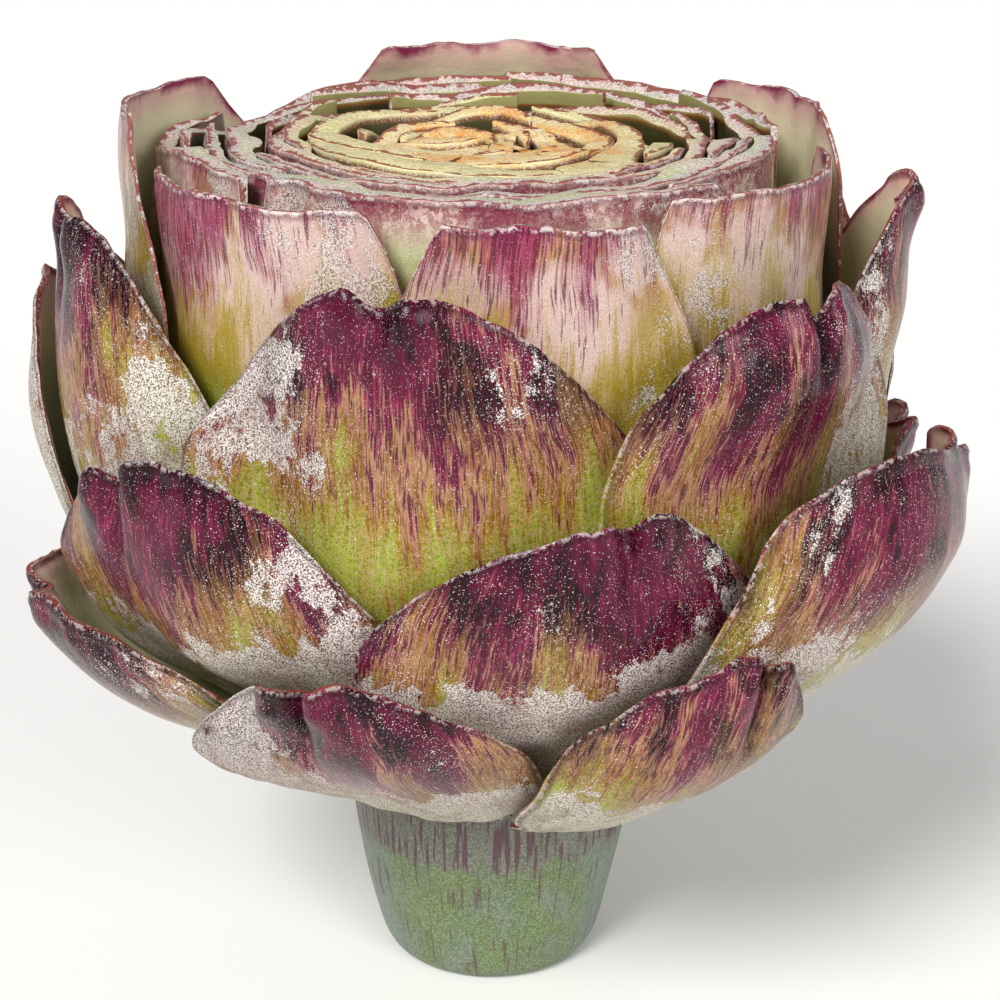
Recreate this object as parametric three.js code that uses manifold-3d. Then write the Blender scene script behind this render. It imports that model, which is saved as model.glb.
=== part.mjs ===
// A globe artichoke, topped flat and standing on its cut stem.
// Millimetres and degrees, +Z up, origin at the centre of the stem's cut face.
// The best side faces -Y. An azimuth is 0 there and grows towards +X.
import * as THREE from 'three';
import { mergeVertices } from 'three/addons/utils/BufferGeometryUtils.js';
import Module from 'manifold-3d';

// Whole head
const BELLY_Z = 68; // height of the point that all layers curve round
const ARC_RADIUS = 45; // turns a length below the belly into an angle
const CUT_Z = 96.3; // height of the cut at the outer ring
const CUT_RISE = 0.09; // each later bract stands this much higher at the cut
const GOLDEN_ANGLE = 137.508;

// Bracts, numbered from the lowest and outermost inwards
const BRACT_COUNT = 44;
const FRONT_BRACT = 8; // the one that faces -Y
const FRONT_AZIMUTH = 8;
const FIRST_CUT_BRACT = 19; // bracts before this one keep their natural tips
const LOWEST_TIP_Z = 50;
const TIP_STEP = 2.55; // each later tip is this much higher
const HALF_WIDTH = 20.5;
const LOWEST_ROOT = -54;
const HIGHEST_ROOT = -18;
const THICK_OUTSIDE = 2.1;
const THICK_INSIDE = 1.5;
const THINNEST = 0.8;
const SIDE_LEAN = 2.2; // the sides of a bract lie this much closer in
const NOTCH_DEPTH = 0.035;
const NOTCH_WIDTH = 0.09;

// Stem: radius and height, from the cut face to where the bracts start
const STEM_PROFILE = [
  [0, 0], [11.5, 0], [12.8, 1.2], [13.6, 3], [14.0, 5], [14.6, 8], [15.3, 12], [16.1, 16], [16.5, 20],
];
const STEM_SIDES = 32;
const JOINT_GAP = 0.3; // clearance between pieces that touch

// Packed leaves at the centre of the cut
const HEART_RADIUS = 19.2;
const HEART_FLOOR_Z = 62.5;
const HEART_PLUG_TOP_Z = 90;
const HEART_CUT_Z = 98.5;
const HEART_LEAF_COUNT = 30;
const HEART_LEAF_THICK = 0.95;
const HEART_SIDES = 28;

// Curves of the head: distance along a layer from the belly, then a size.
// Below the belly a layer turns in round the belly point, above it stands up.
const ENVELOPE = [[-58, 46], [-44, 47.6], [-28, 49], [0, 49], [14, 47.2], [29, 42.5], [38, 42]];
const CORE = [[-56, 45.2], [-38, 34.5], [-20, 27], [0, 23], [20, 20.5], [38, 20]];
const OUTERMOST_BRACT = [[-58, 0], [-24, 0], [0, 6], [14, 13], [29, 19], [38, 19]];
const LAYER_GAP = [[-58, 0.5], [-20, 0.55], [0, 0.9], [20, 1.0], [38, 0.95]];
const WIDTH_BY_AGE = [[0, 0.9], [8, 1], [20, 1.05], [43, 0.8]];
const WIDTH_ALONG = [[0, 0.52], [0.45, 1], [0.7, 1], [1, 0.8]];
const THICK_ALONG = [[0, 1.05], [0.3, 1.0], [1, 0.75]];

// Single bracts that differ from the rule: turned (deg), tip raised (mm),
// wider (times), flared or moved out (mm), notched and leaning tip, own cut height
const OWN_WAY = {
  0: { turn: -2, rise: 8, wide: 0.72, flare: 0.8, notch: 0.35, lean: 0.05, sunk: -3 },
  1: { rise: 5, flare: 0.3 },
  2: { rise: 3, flare: 1.4 },
  3: { turn: 3, rise: -3, wide: 0.95, flare: 1, notch: -0.25, lean: -0.04 },
  5: { turn: -5, rise: 13, wide: 1.28, flare: 5, notch: 0.4, lean: 0.05 },
  6: { turn: -7, rise: -13, wide: 0.88, flare: 5.5, notch: -0.1, lean: -0.03 },
  8: { turn: -1, rise: 0, wide: 1.02, flare: 0.3, notch: 0.12, lean: 0.05 },
  10: { rise: -4, flare: 0 },
  11: { turn: 2, rise: -5.5, wide: 1.02, flare: 1.4, notch: -0.4, lean: -0.05 },
  13: { rise: 6.5, wide: 1.15, flare: 0.4, notch: 0.1, lean: 0.03 },
  14: { rise: -2, wide: 0.95, flare: 1.5 },
  15: { turn: -4, rise: 2, flare: 1 },
  16: { turn: 1, rise: 1, wide: 1.12, flare: 0.2, notch: -0.1, lean: -0.04 },
  18: { turn: 12, rise: -1, wide: 0.9, flare: 3.5 },
  19: { turn: -8, rise: -4.5, flare: 4.4 },
  21: { turn: -13, wide: 0.78, cut: 96.8 },
  22: { turn: 15, wide: 1.2, out: 1.5, cut: 102 },
  23: { turn: 6, cut: 101 },
  24: { turn: -14, wide: 1.05, out: 1.5, cut: 97.5 },
  25: { turn: -10, wide: 0.92, cut: 103.6 },
  26: { turn: 5, out: 3, cut: 97.8 },
};
const LOOSE_BRACTS = 8; // these span the steps beneath them in one smooth sweep
const PLAIN_FLARE = 0.6; // of an outer bract that has no own flare
const LAST_FLARED_BRACT = 15;

// Small mathematics
const mix = (a, b, t) => a + (b - a) * t;
const clamp = (x, low, high) => Math.max(low, Math.min(high, x));
const radians = (degrees) => THREE.MathUtils.degToRad(degrees);
const wrap = (degrees) => ((degrees + 180) % 360 + 360) % 360 - 180;

function smooth(from, to, x) {
  const t = clamp((x - from) / (to - from), 0, 1);
  return t * t * (3 - 2 * t);
}

function curve(points, x) {
  for (let k = 1; k < points.length; k += 1) {
    const [x0, y0] = points[k - 1];
    const [x1, y1] = points[k];
    if (x <= x1) return mix(y0, y1, smooth(x0, x1, x));
  }
  return points[points.length - 1][1];
}

// A point of a layer: azimuth, distance along the layer from the belly, and
// distance from the belly point (below the belly) or from the axis (above it)
function place(azimuth, along, rho) {
  const turn = Math.min(along, 0) / ARC_RADIUS;
  const radius = rho * Math.cos(turn);
  const z = BELLY_Z + rho * Math.sin(turn) + Math.max(along, 0);
  const a = radians(azimuth);
  return [radius * Math.sin(a), -radius * Math.cos(a), z];
}

const radiusAt = (along, rho) => rho * Math.cos(Math.min(along, 0) / ARC_RADIUS);

// The rule for one bract
function bractOf(index) {
  const own = OWN_WAY[index] ?? {};
  const age = index / (BRACT_COUNT - 1);
  const root = mix(LOWEST_ROOT, HIGHEST_ROOT, age ** 0.85) - (own.sunk ?? 0);
  const tipZ = LOWEST_TIP_Z + TIP_STEP * index + (own.rise ?? 0);
  const cutZ = own.cut ?? CUT_Z + CUT_RISE * Math.max(0, index - FIRST_CUT_BRACT);
  return {
    index,
    azimuth: wrap(FRONT_AZIMUTH - GOLDEN_ANGLE * (index - FRONT_BRACT) + (own.turn ?? 0)),
    root,
    length: tipZ - BELLY_Z - root,
    cutLength: cutZ - BELLY_Z - root,
    half: HALF_WIDTH * (own.wide ?? 1) * curve(WIDTH_BY_AGE, index),
    flare: own.flare ?? (index <= LAST_FLARED_BRACT ? PLAIN_FLARE : 0),
    out: own.out ?? 0,
    notch: own.notch ?? 0,
    lean: own.lean ?? 0,
    thick: mix(THICK_OUTSIDE, THICK_INSIDE, age),
  };
}

const halfWidthAt = (bract, s) => bract.half * curve(WIDTH_ALONG, s / bract.length);

// How long the bract is at x across, -1 at one side and 1 at the other
function reachAt(bract, x) {
  const side = Math.min(1, Math.abs(x));
  const rounded = 0.62 + 0.38 * (1 - side ** 2.6) ** 0.66;
  const leaning = bract.lean * x * (1 - side);
  const notch = NOTCH_DEPTH * Math.exp(-(((x - bract.notch) / NOTCH_WIDTH) ** 2));
  return Math.min((rounded + leaning - notch) * bract.length, bract.cutLength);
}

// Where the middle of the bract would lie if nothing pushed it out
function layerRho(bract, along) {
  const first = curve(OUTERMOST_BRACT, along);
  const depth = clamp((bract.index - first) / (BRACT_COUNT - 1 - first), 0, 1);
  return mix(curve(ENVELOPE, along), curve(CORE, along), depth ** 0.92) + bract.out;
}

// What is already in place, as its outermost rho over azimuth and height
const FIELD_COLUMNS = 120;
const FIELD_STEP = 2;
const FIELD_BOTTOM = -58;
const FIELD_TOP = 38;
const FIELD_ROWS = (FIELD_TOP - FIELD_BOTTOM) / FIELD_STEP + 1;

class Field {
  constructor(valueAt) {
    this.rho = new Float64Array(FIELD_COLUMNS * FIELD_ROWS);
    for (let column = 0; column < FIELD_COLUMNS; column += 1) {
      for (let row = 0; row < FIELD_ROWS; row += 1) {
        this.rho[column * FIELD_ROWS + row] = valueAt(column, row);
      }
    }
  }

  cell(column, row) {
    const c = (column + 2 * FIELD_COLUMNS) % FIELD_COLUMNS;
    return this.rho[c * FIELD_ROWS + clamp(row, 0, FIELD_ROWS - 1)];
  }

  at(azimuth, along) {
    const column = (((azimuth % 360) + 360) % 360) / (360 / FIELD_COLUMNS);
    const row = clamp((along - FIELD_BOTTOM) / FIELD_STEP, 0, FIELD_ROWS - 1.001);
    const c = Math.floor(column);
    const r = Math.floor(row);
    const low = mix(this.cell(c, r), this.cell(c + 1, r), column - c);
    const high = mix(this.cell(c, r + 1), this.cell(c + 1, r + 1), column - c);
    return mix(low, high, row - r);
  }

  // The highest of each cell and its neighbours, so that a bract clears edges
  widened() {
    return new Field((c, r) => {
      let highest = 0;
      for (let dc = -2; dc <= 2; dc += 1) {
        for (let dr = -2; dr <= 2; dr += 1) highest = Math.max(highest, this.cell(c + dc, r + dr));
      }
      return highest;
    });
  }

  softened(passes) {
    if (passes === 0) return this;
    const across = new Field((c, r) => (this.cell(c - 1, r) + 2 * this.cell(c, r) + this.cell(c + 1, r)) / 4);
    const both = new Field((c, r) => (across.cell(c, r - 1) + 2 * across.cell(c, r) + across.cell(c, r + 1)) / 4);
    return both.softened(passes - 1);
  }

  add(bract, below) {
    for (let column = 0; column < FIELD_COLUMNS; column += 1) {
      const azimuth = column * (360 / FIELD_COLUMNS);
      const turned = radians(wrap(azimuth - bract.azimuth));
      for (let row = 0; row < FIELD_ROWS; row += 1) {
        const along = FIELD_BOTTOM + row * FIELD_STEP;
        const s = along - bract.root;
        const x = (turned * radiusAt(along, layerRho(bract, along))) / halfWidthAt(bract, Math.max(s, 0));
        const reach = reachAt(bract, x);
        if (s < -1.5 || Math.abs(x) > 1 || s > reach + 1) continue;
        const y = clamp(s / reach, 0, 1);
        const outer = innerRho(bract, below, azimuth, along, x, y) + thicknessAt(bract, x, y);
        const cell = column * FIELD_ROWS + row;
        this.rho[cell] = Math.max(this.rho[cell], outer);
      }
    }
  }
}

// The inner face: on its own layer, or lifted clear of what lies beneath
function innerRho(bract, below, azimuth, along, x, y) {
  const rest = below.at(azimuth, along) + curve(LAYER_GAP, along);
  const free = layerRho(bract, along) - bract.thick;
  const rooted = mix(curve(CORE, along) + 0.4, free, smooth(0, 0.45, y));
  const lift = rooted - SIDE_LEAN * Math.abs(x) ** 2.2 - rest;
  const softness = 0.8;
  const cleared = lift > -6 ? rest + (lift + Math.hypot(lift, softness)) / 2 : rest;
  return cleared + bract.flare * (smooth(0.18, 0.85, y) - 0.2 * smooth(0.8, 1.05, y));
}

function thicknessAt(bract, x, y) {
  return Math.max(THINNEST, bract.thick * (1 - 0.55 * x * x) * curve(THICK_ALONG, y));
}

// A closed body from matching grids of outer and inner points
function shellGeometry(outer, inner) {
  const columns = outer.length;
  const rows = outer[0].length;
  const positions = [...outer.flat(), ...inner.flat()].flat();
  const out = (c, r) => c * rows + r;
  const back = (c, r) => columns * rows + c * rows + r;
  const faces = [];
  const quad = (a, b, c, d) => faces.push(a, b, c, a, c, d);
  for (let c = 0; c < columns - 1; c += 1) {
    for (let r = 0; r < rows - 1; r += 1) {
      quad(out(c, r), out(c + 1, r), out(c + 1, r + 1), out(c, r + 1));
      quad(back(c, r), back(c, r + 1), back(c + 1, r + 1), back(c + 1, r));
    }
    quad(out(c, 0), back(c, 0), back(c + 1, 0), out(c + 1, 0));
    quad(out(c, rows - 1), out(c + 1, rows - 1), back(c + 1, rows - 1), back(c, rows - 1));
  }
  for (let r = 0; r < rows - 1; r += 1) {
    quad(out(0, r), out(0, r + 1), back(0, r + 1), back(0, r));
    quad(out(columns - 1, r), back(columns - 1, r), back(columns - 1, r + 1), out(columns - 1, r + 1));
  }
  const geometry = new THREE.BufferGeometry();
  geometry.setAttribute('position', new THREE.Float32BufferAttribute(positions, 3));
  geometry.setIndex(faces);
  return geometry;
}

// Columns lie closer at the sides, and one of them runs into the notch
function columnsAcross(bract, count) {
  const across = [];
  for (let c = 0; c <= count; c += 1) {
    const even = (2 * c) / count - 1;
    across.push(0.6 * Math.sin((Math.PI / 2) * even) + 0.4 * even);
  }
  const distance = (c) => Math.abs(across[c] - bract.notch);
  let nearest = 1;
  for (let c = 2; c < count; c += 1) if (distance(c) < distance(nearest)) nearest = c;
  across[nearest] = bract.notch;
  return across;
}

function bractGeometry(bract, below) {
  const count = bract.index < FIRST_CUT_BRACT + 3 ? 8 : 6;
  const outer = [];
  const inner = [];
  for (const x of columnsAcross(bract, count)) {
    const reach = reachAt(bract, x);
    const outerColumn = [];
    const innerColumn = [];
    for (let row = 0; row <= count; row += 1) {
      const y = row / count;
      const along = bract.root + y * reach;
      const radius = radiusAt(along, layerRho(bract, along));
      const halfWidth = halfWidthAt(bract, y * reach);
      const azimuth = bract.azimuth + THREE.MathUtils.radToDeg((x * halfWidth) / radius);
      const rho = innerRho(bract, below, azimuth, along, x, y);
      innerColumn.push(place(azimuth, along, rho));
      outerColumn.push(place(azimuth, along, rho + thicknessAt(bract, x, y)));
    }
    outer.push(outerColumn);
    inner.push(innerColumn);
  }
  return shellGeometry(outer, inner);
}

// A profile of radius and height turned round the Z axis
function turned(profile, sides) {
  const points = profile.map(([radius, z]) => new THREE.Vector2(radius, z));
  return new THREE.LatheGeometry(points, sides).rotateX(Math.PI / 2);
}

// Stem and receptacle, grown as one: the receptacle fills the head up to the roots
function stemGeometry() {
  const profile = [...STEM_PROFILE];
  const steps = 8;
  for (let k = 0; k <= steps; k += 1) {
    const along = mix(LOWEST_ROOT, HIGHEST_ROOT + 2, k / steps);
    const [, y, z] = place(0, along, curve(CORE, along) - JOINT_GAP);
    profile.push([-y, z]);
  }
  const crownZ = HEART_FLOOR_Z - JOINT_GAP;
  profile.push([HEART_RADIUS - 2, crownZ], [0, crownZ]);
  return turned(profile, STEM_SIDES);
}

// One small leaf of the heart: an arc that turns in at its sides, sunk in the plug
function heartLeafGeometry(index) {
  const depth = index / (HEART_LEAF_COUNT - 1);
  const radius = mix(HEART_RADIUS - 0.4, 2.4, depth ** 0.9);
  const middle = FRONT_AZIMUTH - GOLDEN_ANGLE * (BRACT_COUNT + index - FRONT_BRACT);
  const halfAngle = mix(50, 82, depth);
  const turnIn = mix(1.6, 0.5, depth);
  const top = mix(HEART_CUT_Z - 0.3, HEART_CUT_Z + 0.2, depth);
  const columns = 6;
  const outer = [];
  const inner = [];
  for (let c = 0; c <= columns; c += 1) {
    const x = (2 * c) / columns - 1;
    const a = radians(middle + x * halfAngle);
    const outside = radius - turnIn * x * x;
    const inside = outside - HEART_LEAF_THICK * (1 - 0.25 * x * x);
    const foot = HEART_PLUG_TOP_Z - 2;
    outer.push([foot, top].map((z) => [outside * Math.sin(a), -outside * Math.cos(a), z]));
    inner.push([foot, top].map((z) => [inside * Math.sin(a), -inside * Math.cos(a), z]));
  }
  return shellGeometry(outer, inner);
}

// The solid lower part of the heart, with a small bud at its middle
function heartPlugGeometry() {
  const profile = [
    [0, HEART_FLOOR_Z], [HEART_RADIUS - 2, HEART_FLOOR_Z], [HEART_RADIUS, HEART_FLOOR_Z + 4],
    [HEART_RADIUS, HEART_PLUG_TOP_Z], [2.6, HEART_PLUG_TOP_Z + 1.5], [1.5, HEART_CUT_Z - 0.5], [0, HEART_CUT_Z],
  ];
  return turned(profile, HEART_SIDES);
}

const wasm = await Module();
wasm.setup();

function solidOf(geometry) {
  const bare = geometry.clone();
  bare.deleteAttribute('normal');
  bare.deleteAttribute('uv');
  const merged = mergeVertices(bare, 1e-4);
  const vertProperties = Float32Array.from(merged.attributes.position.array);
  const triVerts = Uint32Array.from(merged.index.array);
  return new wasm.Manifold(new wasm.Mesh({ numProp: 3, vertProperties, triVerts }));
}

function geometryOf(solid) {
  const { vertProperties, triVerts } = solid.getMesh();
  const geometry = new THREE.BufferGeometry();
  geometry.setAttribute('position', new THREE.BufferAttribute(Float32Array.from(vertProperties), 3));
  geometry.setIndex(Array.from(triVerts));
  return geometry;
}

function heartGeometry() {
  let heart = solidOf(heartPlugGeometry());
  for (let index = 0; index < HEART_LEAF_COUNT; index += 1) {
    heart = heart.add(solidOf(heartLeafGeometry(index)));
  }
  return geometryOf(heart);
}

// Colours: purple outside, paler and greener towards the heart
const OUTER_PURPLE = new THREE.Color('#6d3a48');
const RING_LILAC = new THREE.Color('#a88a86');
const INNER_GREEN = new THREE.Color('#a9a67a');

function bractMaterial(bract) {
  const toRing = smooth(14, 24, bract.index);
  const toHeart = smooth(26, BRACT_COUNT, bract.index);
  const color = OUTER_PURPLE.clone().lerp(RING_LILAC, toRing).lerp(INNER_GREEN, toHeart);
  return new THREE.MeshStandardMaterial({ color, roughness: 0.5, metalness: 0 });
}

function mesh(name, geometry, material) {
  const part = new THREE.Mesh(geometry, material);
  part.name = name;
  return part;
}

const artichoke = new THREE.Group();
artichoke.add(mesh('stem', stemGeometry(), new THREE.MeshStandardMaterial({ color: '#8f9a78', roughness: 0.6 })));
artichoke.add(mesh('heart', heartGeometry(), new THREE.MeshStandardMaterial({ color: '#d9b878', roughness: 0.6 })));

// Bracts are laid from the heart outwards, each over what is already in place
const laid = new Field((column, row) => curve(CORE, FIELD_BOTTOM + row * FIELD_STEP));
for (let index = BRACT_COUNT - 1; index >= 0; index -= 1) {
  const bract = bractOf(index);
  const below = laid.widened().softened(index < LOOSE_BRACTS ? 6 : 2);
  const name = `bract_${String(index + 1).padStart(2, '0')}`;
  artichoke.add(mesh(name, bractGeometry(bract, below), bractMaterial(bract)));
  laid.add(bract, below);
}

export default artichoke;
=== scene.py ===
"""Looks of a globe artichoke, topped flat and standing on its cut stem.

The bracts are sheets laid over each other from the heart outwards by the plant's own
rule: each is turned by the golden angle, and lies over what is already in place.
Lengths inside the shape functions are millimetres, and meshes are metres.
"""

import math
import random
from dataclasses import dataclass

import bpy
import numpy as np
from bpy.props import FloatProperty, FloatVectorProperty, IntProperty, PointerProperty
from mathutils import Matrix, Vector, noise


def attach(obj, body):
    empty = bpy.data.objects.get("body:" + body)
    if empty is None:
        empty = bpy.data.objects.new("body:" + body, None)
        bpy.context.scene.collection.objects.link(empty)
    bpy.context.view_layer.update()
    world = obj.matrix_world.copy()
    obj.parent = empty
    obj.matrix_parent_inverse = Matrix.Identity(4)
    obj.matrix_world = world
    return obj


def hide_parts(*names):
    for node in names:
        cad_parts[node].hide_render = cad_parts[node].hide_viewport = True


bl_info = {
    "name": "Globe artichoke",
    "version": (1, 0, 0),
    "blender": (4, 5, 0),
    "location": "View3D > Sidebar > Artichoke",
    "description": "Bracts, heart and stem of a topped globe artichoke, with their finishes",
    "category": "Object",
}

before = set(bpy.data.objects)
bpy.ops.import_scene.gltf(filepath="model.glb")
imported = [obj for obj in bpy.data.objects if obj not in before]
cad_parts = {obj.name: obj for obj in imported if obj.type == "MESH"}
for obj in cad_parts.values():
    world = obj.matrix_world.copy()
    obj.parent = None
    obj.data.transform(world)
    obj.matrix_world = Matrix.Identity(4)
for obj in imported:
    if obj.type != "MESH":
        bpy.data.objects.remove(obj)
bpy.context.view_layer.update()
MM = 0.001

# Whole head
BELLY_Z = 68.0
ARC_RADIUS = 45.0
CUT_Z = 96.3
CUT_RISE = 0.09
GOLDEN_ANGLE = 137.508

# Bracts, numbered from the lowest and outermost inwards
BRACT_COUNT = 44
FRONT_BRACT = 8
FRONT_AZIMUTH = 8.0
FIRST_CUT_BRACT = 20
FIRST_RING_BRACT = 27
RING_CUT_Z = 98.5
LOWEST_TIP_Z = 50.0
TIP_STEP = 2.55
HALF_WIDTH = 20.5
LOWEST_ROOT = -54.0
HIGHEST_ROOT = -18.0
THICK_OUTSIDE = 2.1
THICK_INSIDE = 1.5
THINNEST = 0.8
FLESHY_FRONT = 4.2
FLESHY_BACK = 1.5
RING_BOWS = (0.4, 3.4)
RING_DIPS = (0.6, 2.4, 3.4)
RING_BLUSH = 0.2
SIDE_LEAN = 2.2
CUPPED_MIDDLE = 1.15
CUPPED_SIDES = 1.05
NOTCH_DEPTH = 0.035
NOTCH_WIDTH = 0.09
LOOSE_BRACTS = 8
PLAIN_FLARE = 0.6
LAST_FLARED_BRACT = 15

# Heart of young leaves
HEART_RADIUS = 19.2
HEART_TOP_Z = 98.5
HEART_FLOOR_Z = 62.5
HEART_PLUG_Z = 88.0
HEART_DIPS = (0.8, 2.2, 3.0)

# Curves of the head: distance along a layer from the belly, then a size
ENVELOPE = ((-58, 46), (-44, 47.6), (-28, 49), (0, 49), (14, 47.2), (29, 42.5), (38, 42))
CORE = ((-56, 45.2), (-38, 34.5), (-20, 27), (0, 23), (20, 20.5), (38, 20))
OUTERMOST_BRACT = ((-58, 0), (-24, 0), (0, 6), (14, 13), (29, 19), (38, 19))
LAYER_GAP = ((-58, 0.5), (-20, 0.55), (0, 0.8), (20, 0.5), (38, 0.35))
WIDTH_BY_AGE = ((0, 0.9), (8, 1), (26, 1.05), (30, 1.3), (43, 1.1))
WIDTH_ALONG = ((0, 0.52), (0.45, 1), (0.7, 1), (1, 0.8))
THICK_ALONG = ((0, 1.05), (0.3, 1.0), (1, 0.75))

# Single bracts that differ from the rule: turned, raised, widened or shaped in their own way
OWN_WAY = {
    0: dict(turn=-2, rise=8, wide=0.72, flare=0.8, notch=0.35, lean=0.22, sunk=-3),
    1: dict(rise=5, flare=0.3),
    2: dict(rise=3, flare=1.4),
    3: dict(turn=5, rise=-3, wide=0.95, flare=1, notch=-0.25, lean=-0.04),
    5: dict(turn=-2, rise=9.0, wide=1.30, flare=6.0, notch=0.6, lean=-0.16, shoulder=0.90),
    6: dict(turn=8, rise=-9.5, wide=1.02, flare=2.6, notch=-0.1, lean=-0.05, shoulder=0.78),
    8: dict(turn=3.5, wide=1.06, flare=0.6, notch=0.22, lean=0.16, shoulder=0.70),
    10: dict(rise=-9, flare=0),
    11: dict(turn=3, rise=-5.5, wide=1.02, flare=1.4, notch=-0.4, lean=-0.05),
    13: dict(turn=0.5, rise=6.5, wide=0.99, flare=0.9, notch=0.1, lean=0.03, shoulder=0.80),
    14: dict(rise=-2, wide=0.95, flare=1.5),
    15: dict(turn=-4, rise=2, flare=1),
    16: dict(turn=1, rise=1, wide=1.14, flare=0.4, notch=-0.1, lean=-0.04, shoulder=0.68),
    18: dict(turn=12, rise=-1, wide=0.9, flare=3.5),
    19: dict(turn=-8, rise=-4.5, flare=4.4),
    21: dict(turn=-13, wide=0.78, cut=96.8),
    22: dict(turn=18, wide=1.4, out=1.5, cut=102),
    23: dict(turn=6, cut=101),
    24: dict(turn=-14, wide=1.05, out=1.5, cut=97.5),
    25: dict(turn=-10, wide=0.92, cut=103.6),
    26: dict(turn=5, out=3, cut=97.8),
}


# Small mathematics, on numbers and arrays alike


def smooth(low, high, x):
    t = np.clip((x - low) / (high - low), 0.0, 1.0)
    return t * t * (3.0 - 2.0 * t)


def mix(a, b, t):
    return a + (b - a) * t


def curve(points, x):
    """Height at x of a smooth line through the points."""
    xs = np.array([p[0] for p in points], float)
    ys = np.array([p[1] for p in points], float)
    x = np.clip(x, xs[0], xs[-1])
    k = np.clip(np.searchsorted(xs, x) - 1, 0, len(xs) - 2)
    return mix(ys[k], ys[k + 1], smooth(xs[k], xs[k + 1], x))


def wrap(degrees):
    return (degrees + 180.0) % 360.0 - 180.0


def bell(x, width):
    return np.exp(-((x / width) ** 2))


def place(azimuth, along, rho):
    """Points of a layer, from azimuth, distance from the belly, and radius, as an array."""
    turn = np.minimum(along, 0.0) / ARC_RADIUS
    radius = rho * np.cos(turn)
    z = BELLY_Z + rho * np.sin(turn) + np.maximum(along, 0.0)
    a = np.radians(azimuth)
    return np.stack([radius * np.sin(a), -radius * np.cos(a), z], axis=-1)


def wavy(u, v, seed):
    """Smooth noise from about -1 to 1 over two arrays."""
    points = zip(np.ravel(u), np.ravel(v))
    values = [noise.noise(Vector((a, b, seed * 7.31))) for a, b in points]
    return np.reshape(values, np.shape(u))


# The bracts' rule


@dataclass
class Bract:
    """One bract: its place and its own shape, in millimetres and degrees."""

    index: int
    azimuth: float
    root: float
    length: float
    cut_length: float
    half: float
    flare: float
    out: float
    notch: float
    lean: float
    shoulder: float
    thick: float
    bow: float


def bract_of(index):
    own = OWN_WAY.get(index, {})
    age = index / (BRACT_COUNT - 1)
    root = mix(LOWEST_ROOT, HIGHEST_ROOT, age**0.85) - own.get("sunk", 0)
    tip_z = LOWEST_TIP_Z + TIP_STEP * index + own.get("rise", 0)
    cut_z = own.get("cut", CUT_Z + CUT_RISE * max(0, index - FIRST_CUT_BRACT + 1))
    if index >= FIRST_RING_BRACT:
        cut_z = RING_CUT_Z
    plain_flare = PLAIN_FLARE if index <= LAST_FLARED_BRACT else 0.0
    azimuth = FRONT_AZIMUTH - GOLDEN_ANGLE * (index - FRONT_BRACT) + own.get("turn", 0)
    azimuth = wrap(azimuth)
    bow = 0.0
    if index >= FIRST_RING_BRACT:
        bow = random.Random(index).uniform(*RING_BOWS) * float(behind(azimuth))
    return Bract(
        index=index,
        azimuth=azimuth,
        root=root,
        length=tip_z - BELLY_Z - root,
        cut_length=cut_z - BELLY_Z - root,
        half=float(HALF_WIDTH * own.get("wide", 1) * curve(WIDTH_BY_AGE, index)),
        flare=own.get("flare", plain_flare),
        out=own.get("out", 0),
        notch=own.get("notch", 0),
        lean=own.get("lean", 0),
        shoulder=own.get("shoulder", 0.62),
        thick=mix(THICK_OUTSIDE, THICK_INSIDE, age),
        bow=bow,
    )


def half_width_at(bract, s):
    return bract.half * curve(WIDTH_ALONG, s / bract.length)


def reach_at(bract, x):
    """How long the bract is at x across, -1 at one side and 1 at the other."""
    side = np.minimum(1.0, np.abs(x))
    rounded = bract.shoulder + (1.0 - bract.shoulder) * (1.0 - side**2.6) ** 0.66
    leaning = bract.lean * x * (1.0 - side)
    notch = NOTCH_DEPTH * bell(x - bract.notch, NOTCH_WIDTH)
    return np.minimum((rounded + leaning - notch) * bract.length, bract.cut_length)


def layer_rho(bract, along):
    first = curve(OUTERMOST_BRACT, along)
    depth = np.clip((bract.index - first) / (BRACT_COUNT - 1 - first), 0.0, 1.0)
    return mix(curve(ENVELOPE, along), curve(CORE, along), depth**0.92) + bract.out


def thickness_at(bract, x, y):
    return np.maximum(THINNEST, bract.thick * (1 - 0.55 * x * x) * curve(THICK_ALONG, y))


def inner_rho(bract, below, azimuth, along, x, y):
    """The inner face: on its own layer, or lifted clear of what lies beneath."""
    rest = sample(below, azimuth, along) + curve(LAYER_GAP, along)
    free = layer_rho(bract, along) - bract.thick
    rooted = mix(curve(CORE, along) + 0.4, free, smooth(0.0, 0.45, y))
    lift = rooted - SIDE_LEAN * np.abs(x) ** 2.2 - rest
    cleared = np.where(lift > -6, rest + (lift + np.hypot(lift, 0.8)) / 2, rest)
    cleared = cleared + bract.bow * (1.0 - x * x) * smooth(5.0, 26.0, along)
    opened = smooth(0.18, 0.85, y) - 0.2 * smooth(0.8, 1.05, y)
    return cleared + bract.flare * opened * (CUPPED_MIDDLE - CUPPED_SIDES * x * x)


# What is already in place, as its outermost radius over azimuth and height

FIELD_COLUMNS = 120
FIELD_STEP = 2.0
FIELD_BOTTOM = -58.0
FIELD_TOP = 38.0
FIELD_ROWS = int((FIELD_TOP - FIELD_BOTTOM) / FIELD_STEP) + 1
FIELD_AZIMUTHS = np.arange(FIELD_COLUMNS)[:, None] * (360.0 / FIELD_COLUMNS)
FIELD_HEIGHTS = FIELD_BOTTOM + np.arange(FIELD_ROWS)[None, :] * FIELD_STEP


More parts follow.
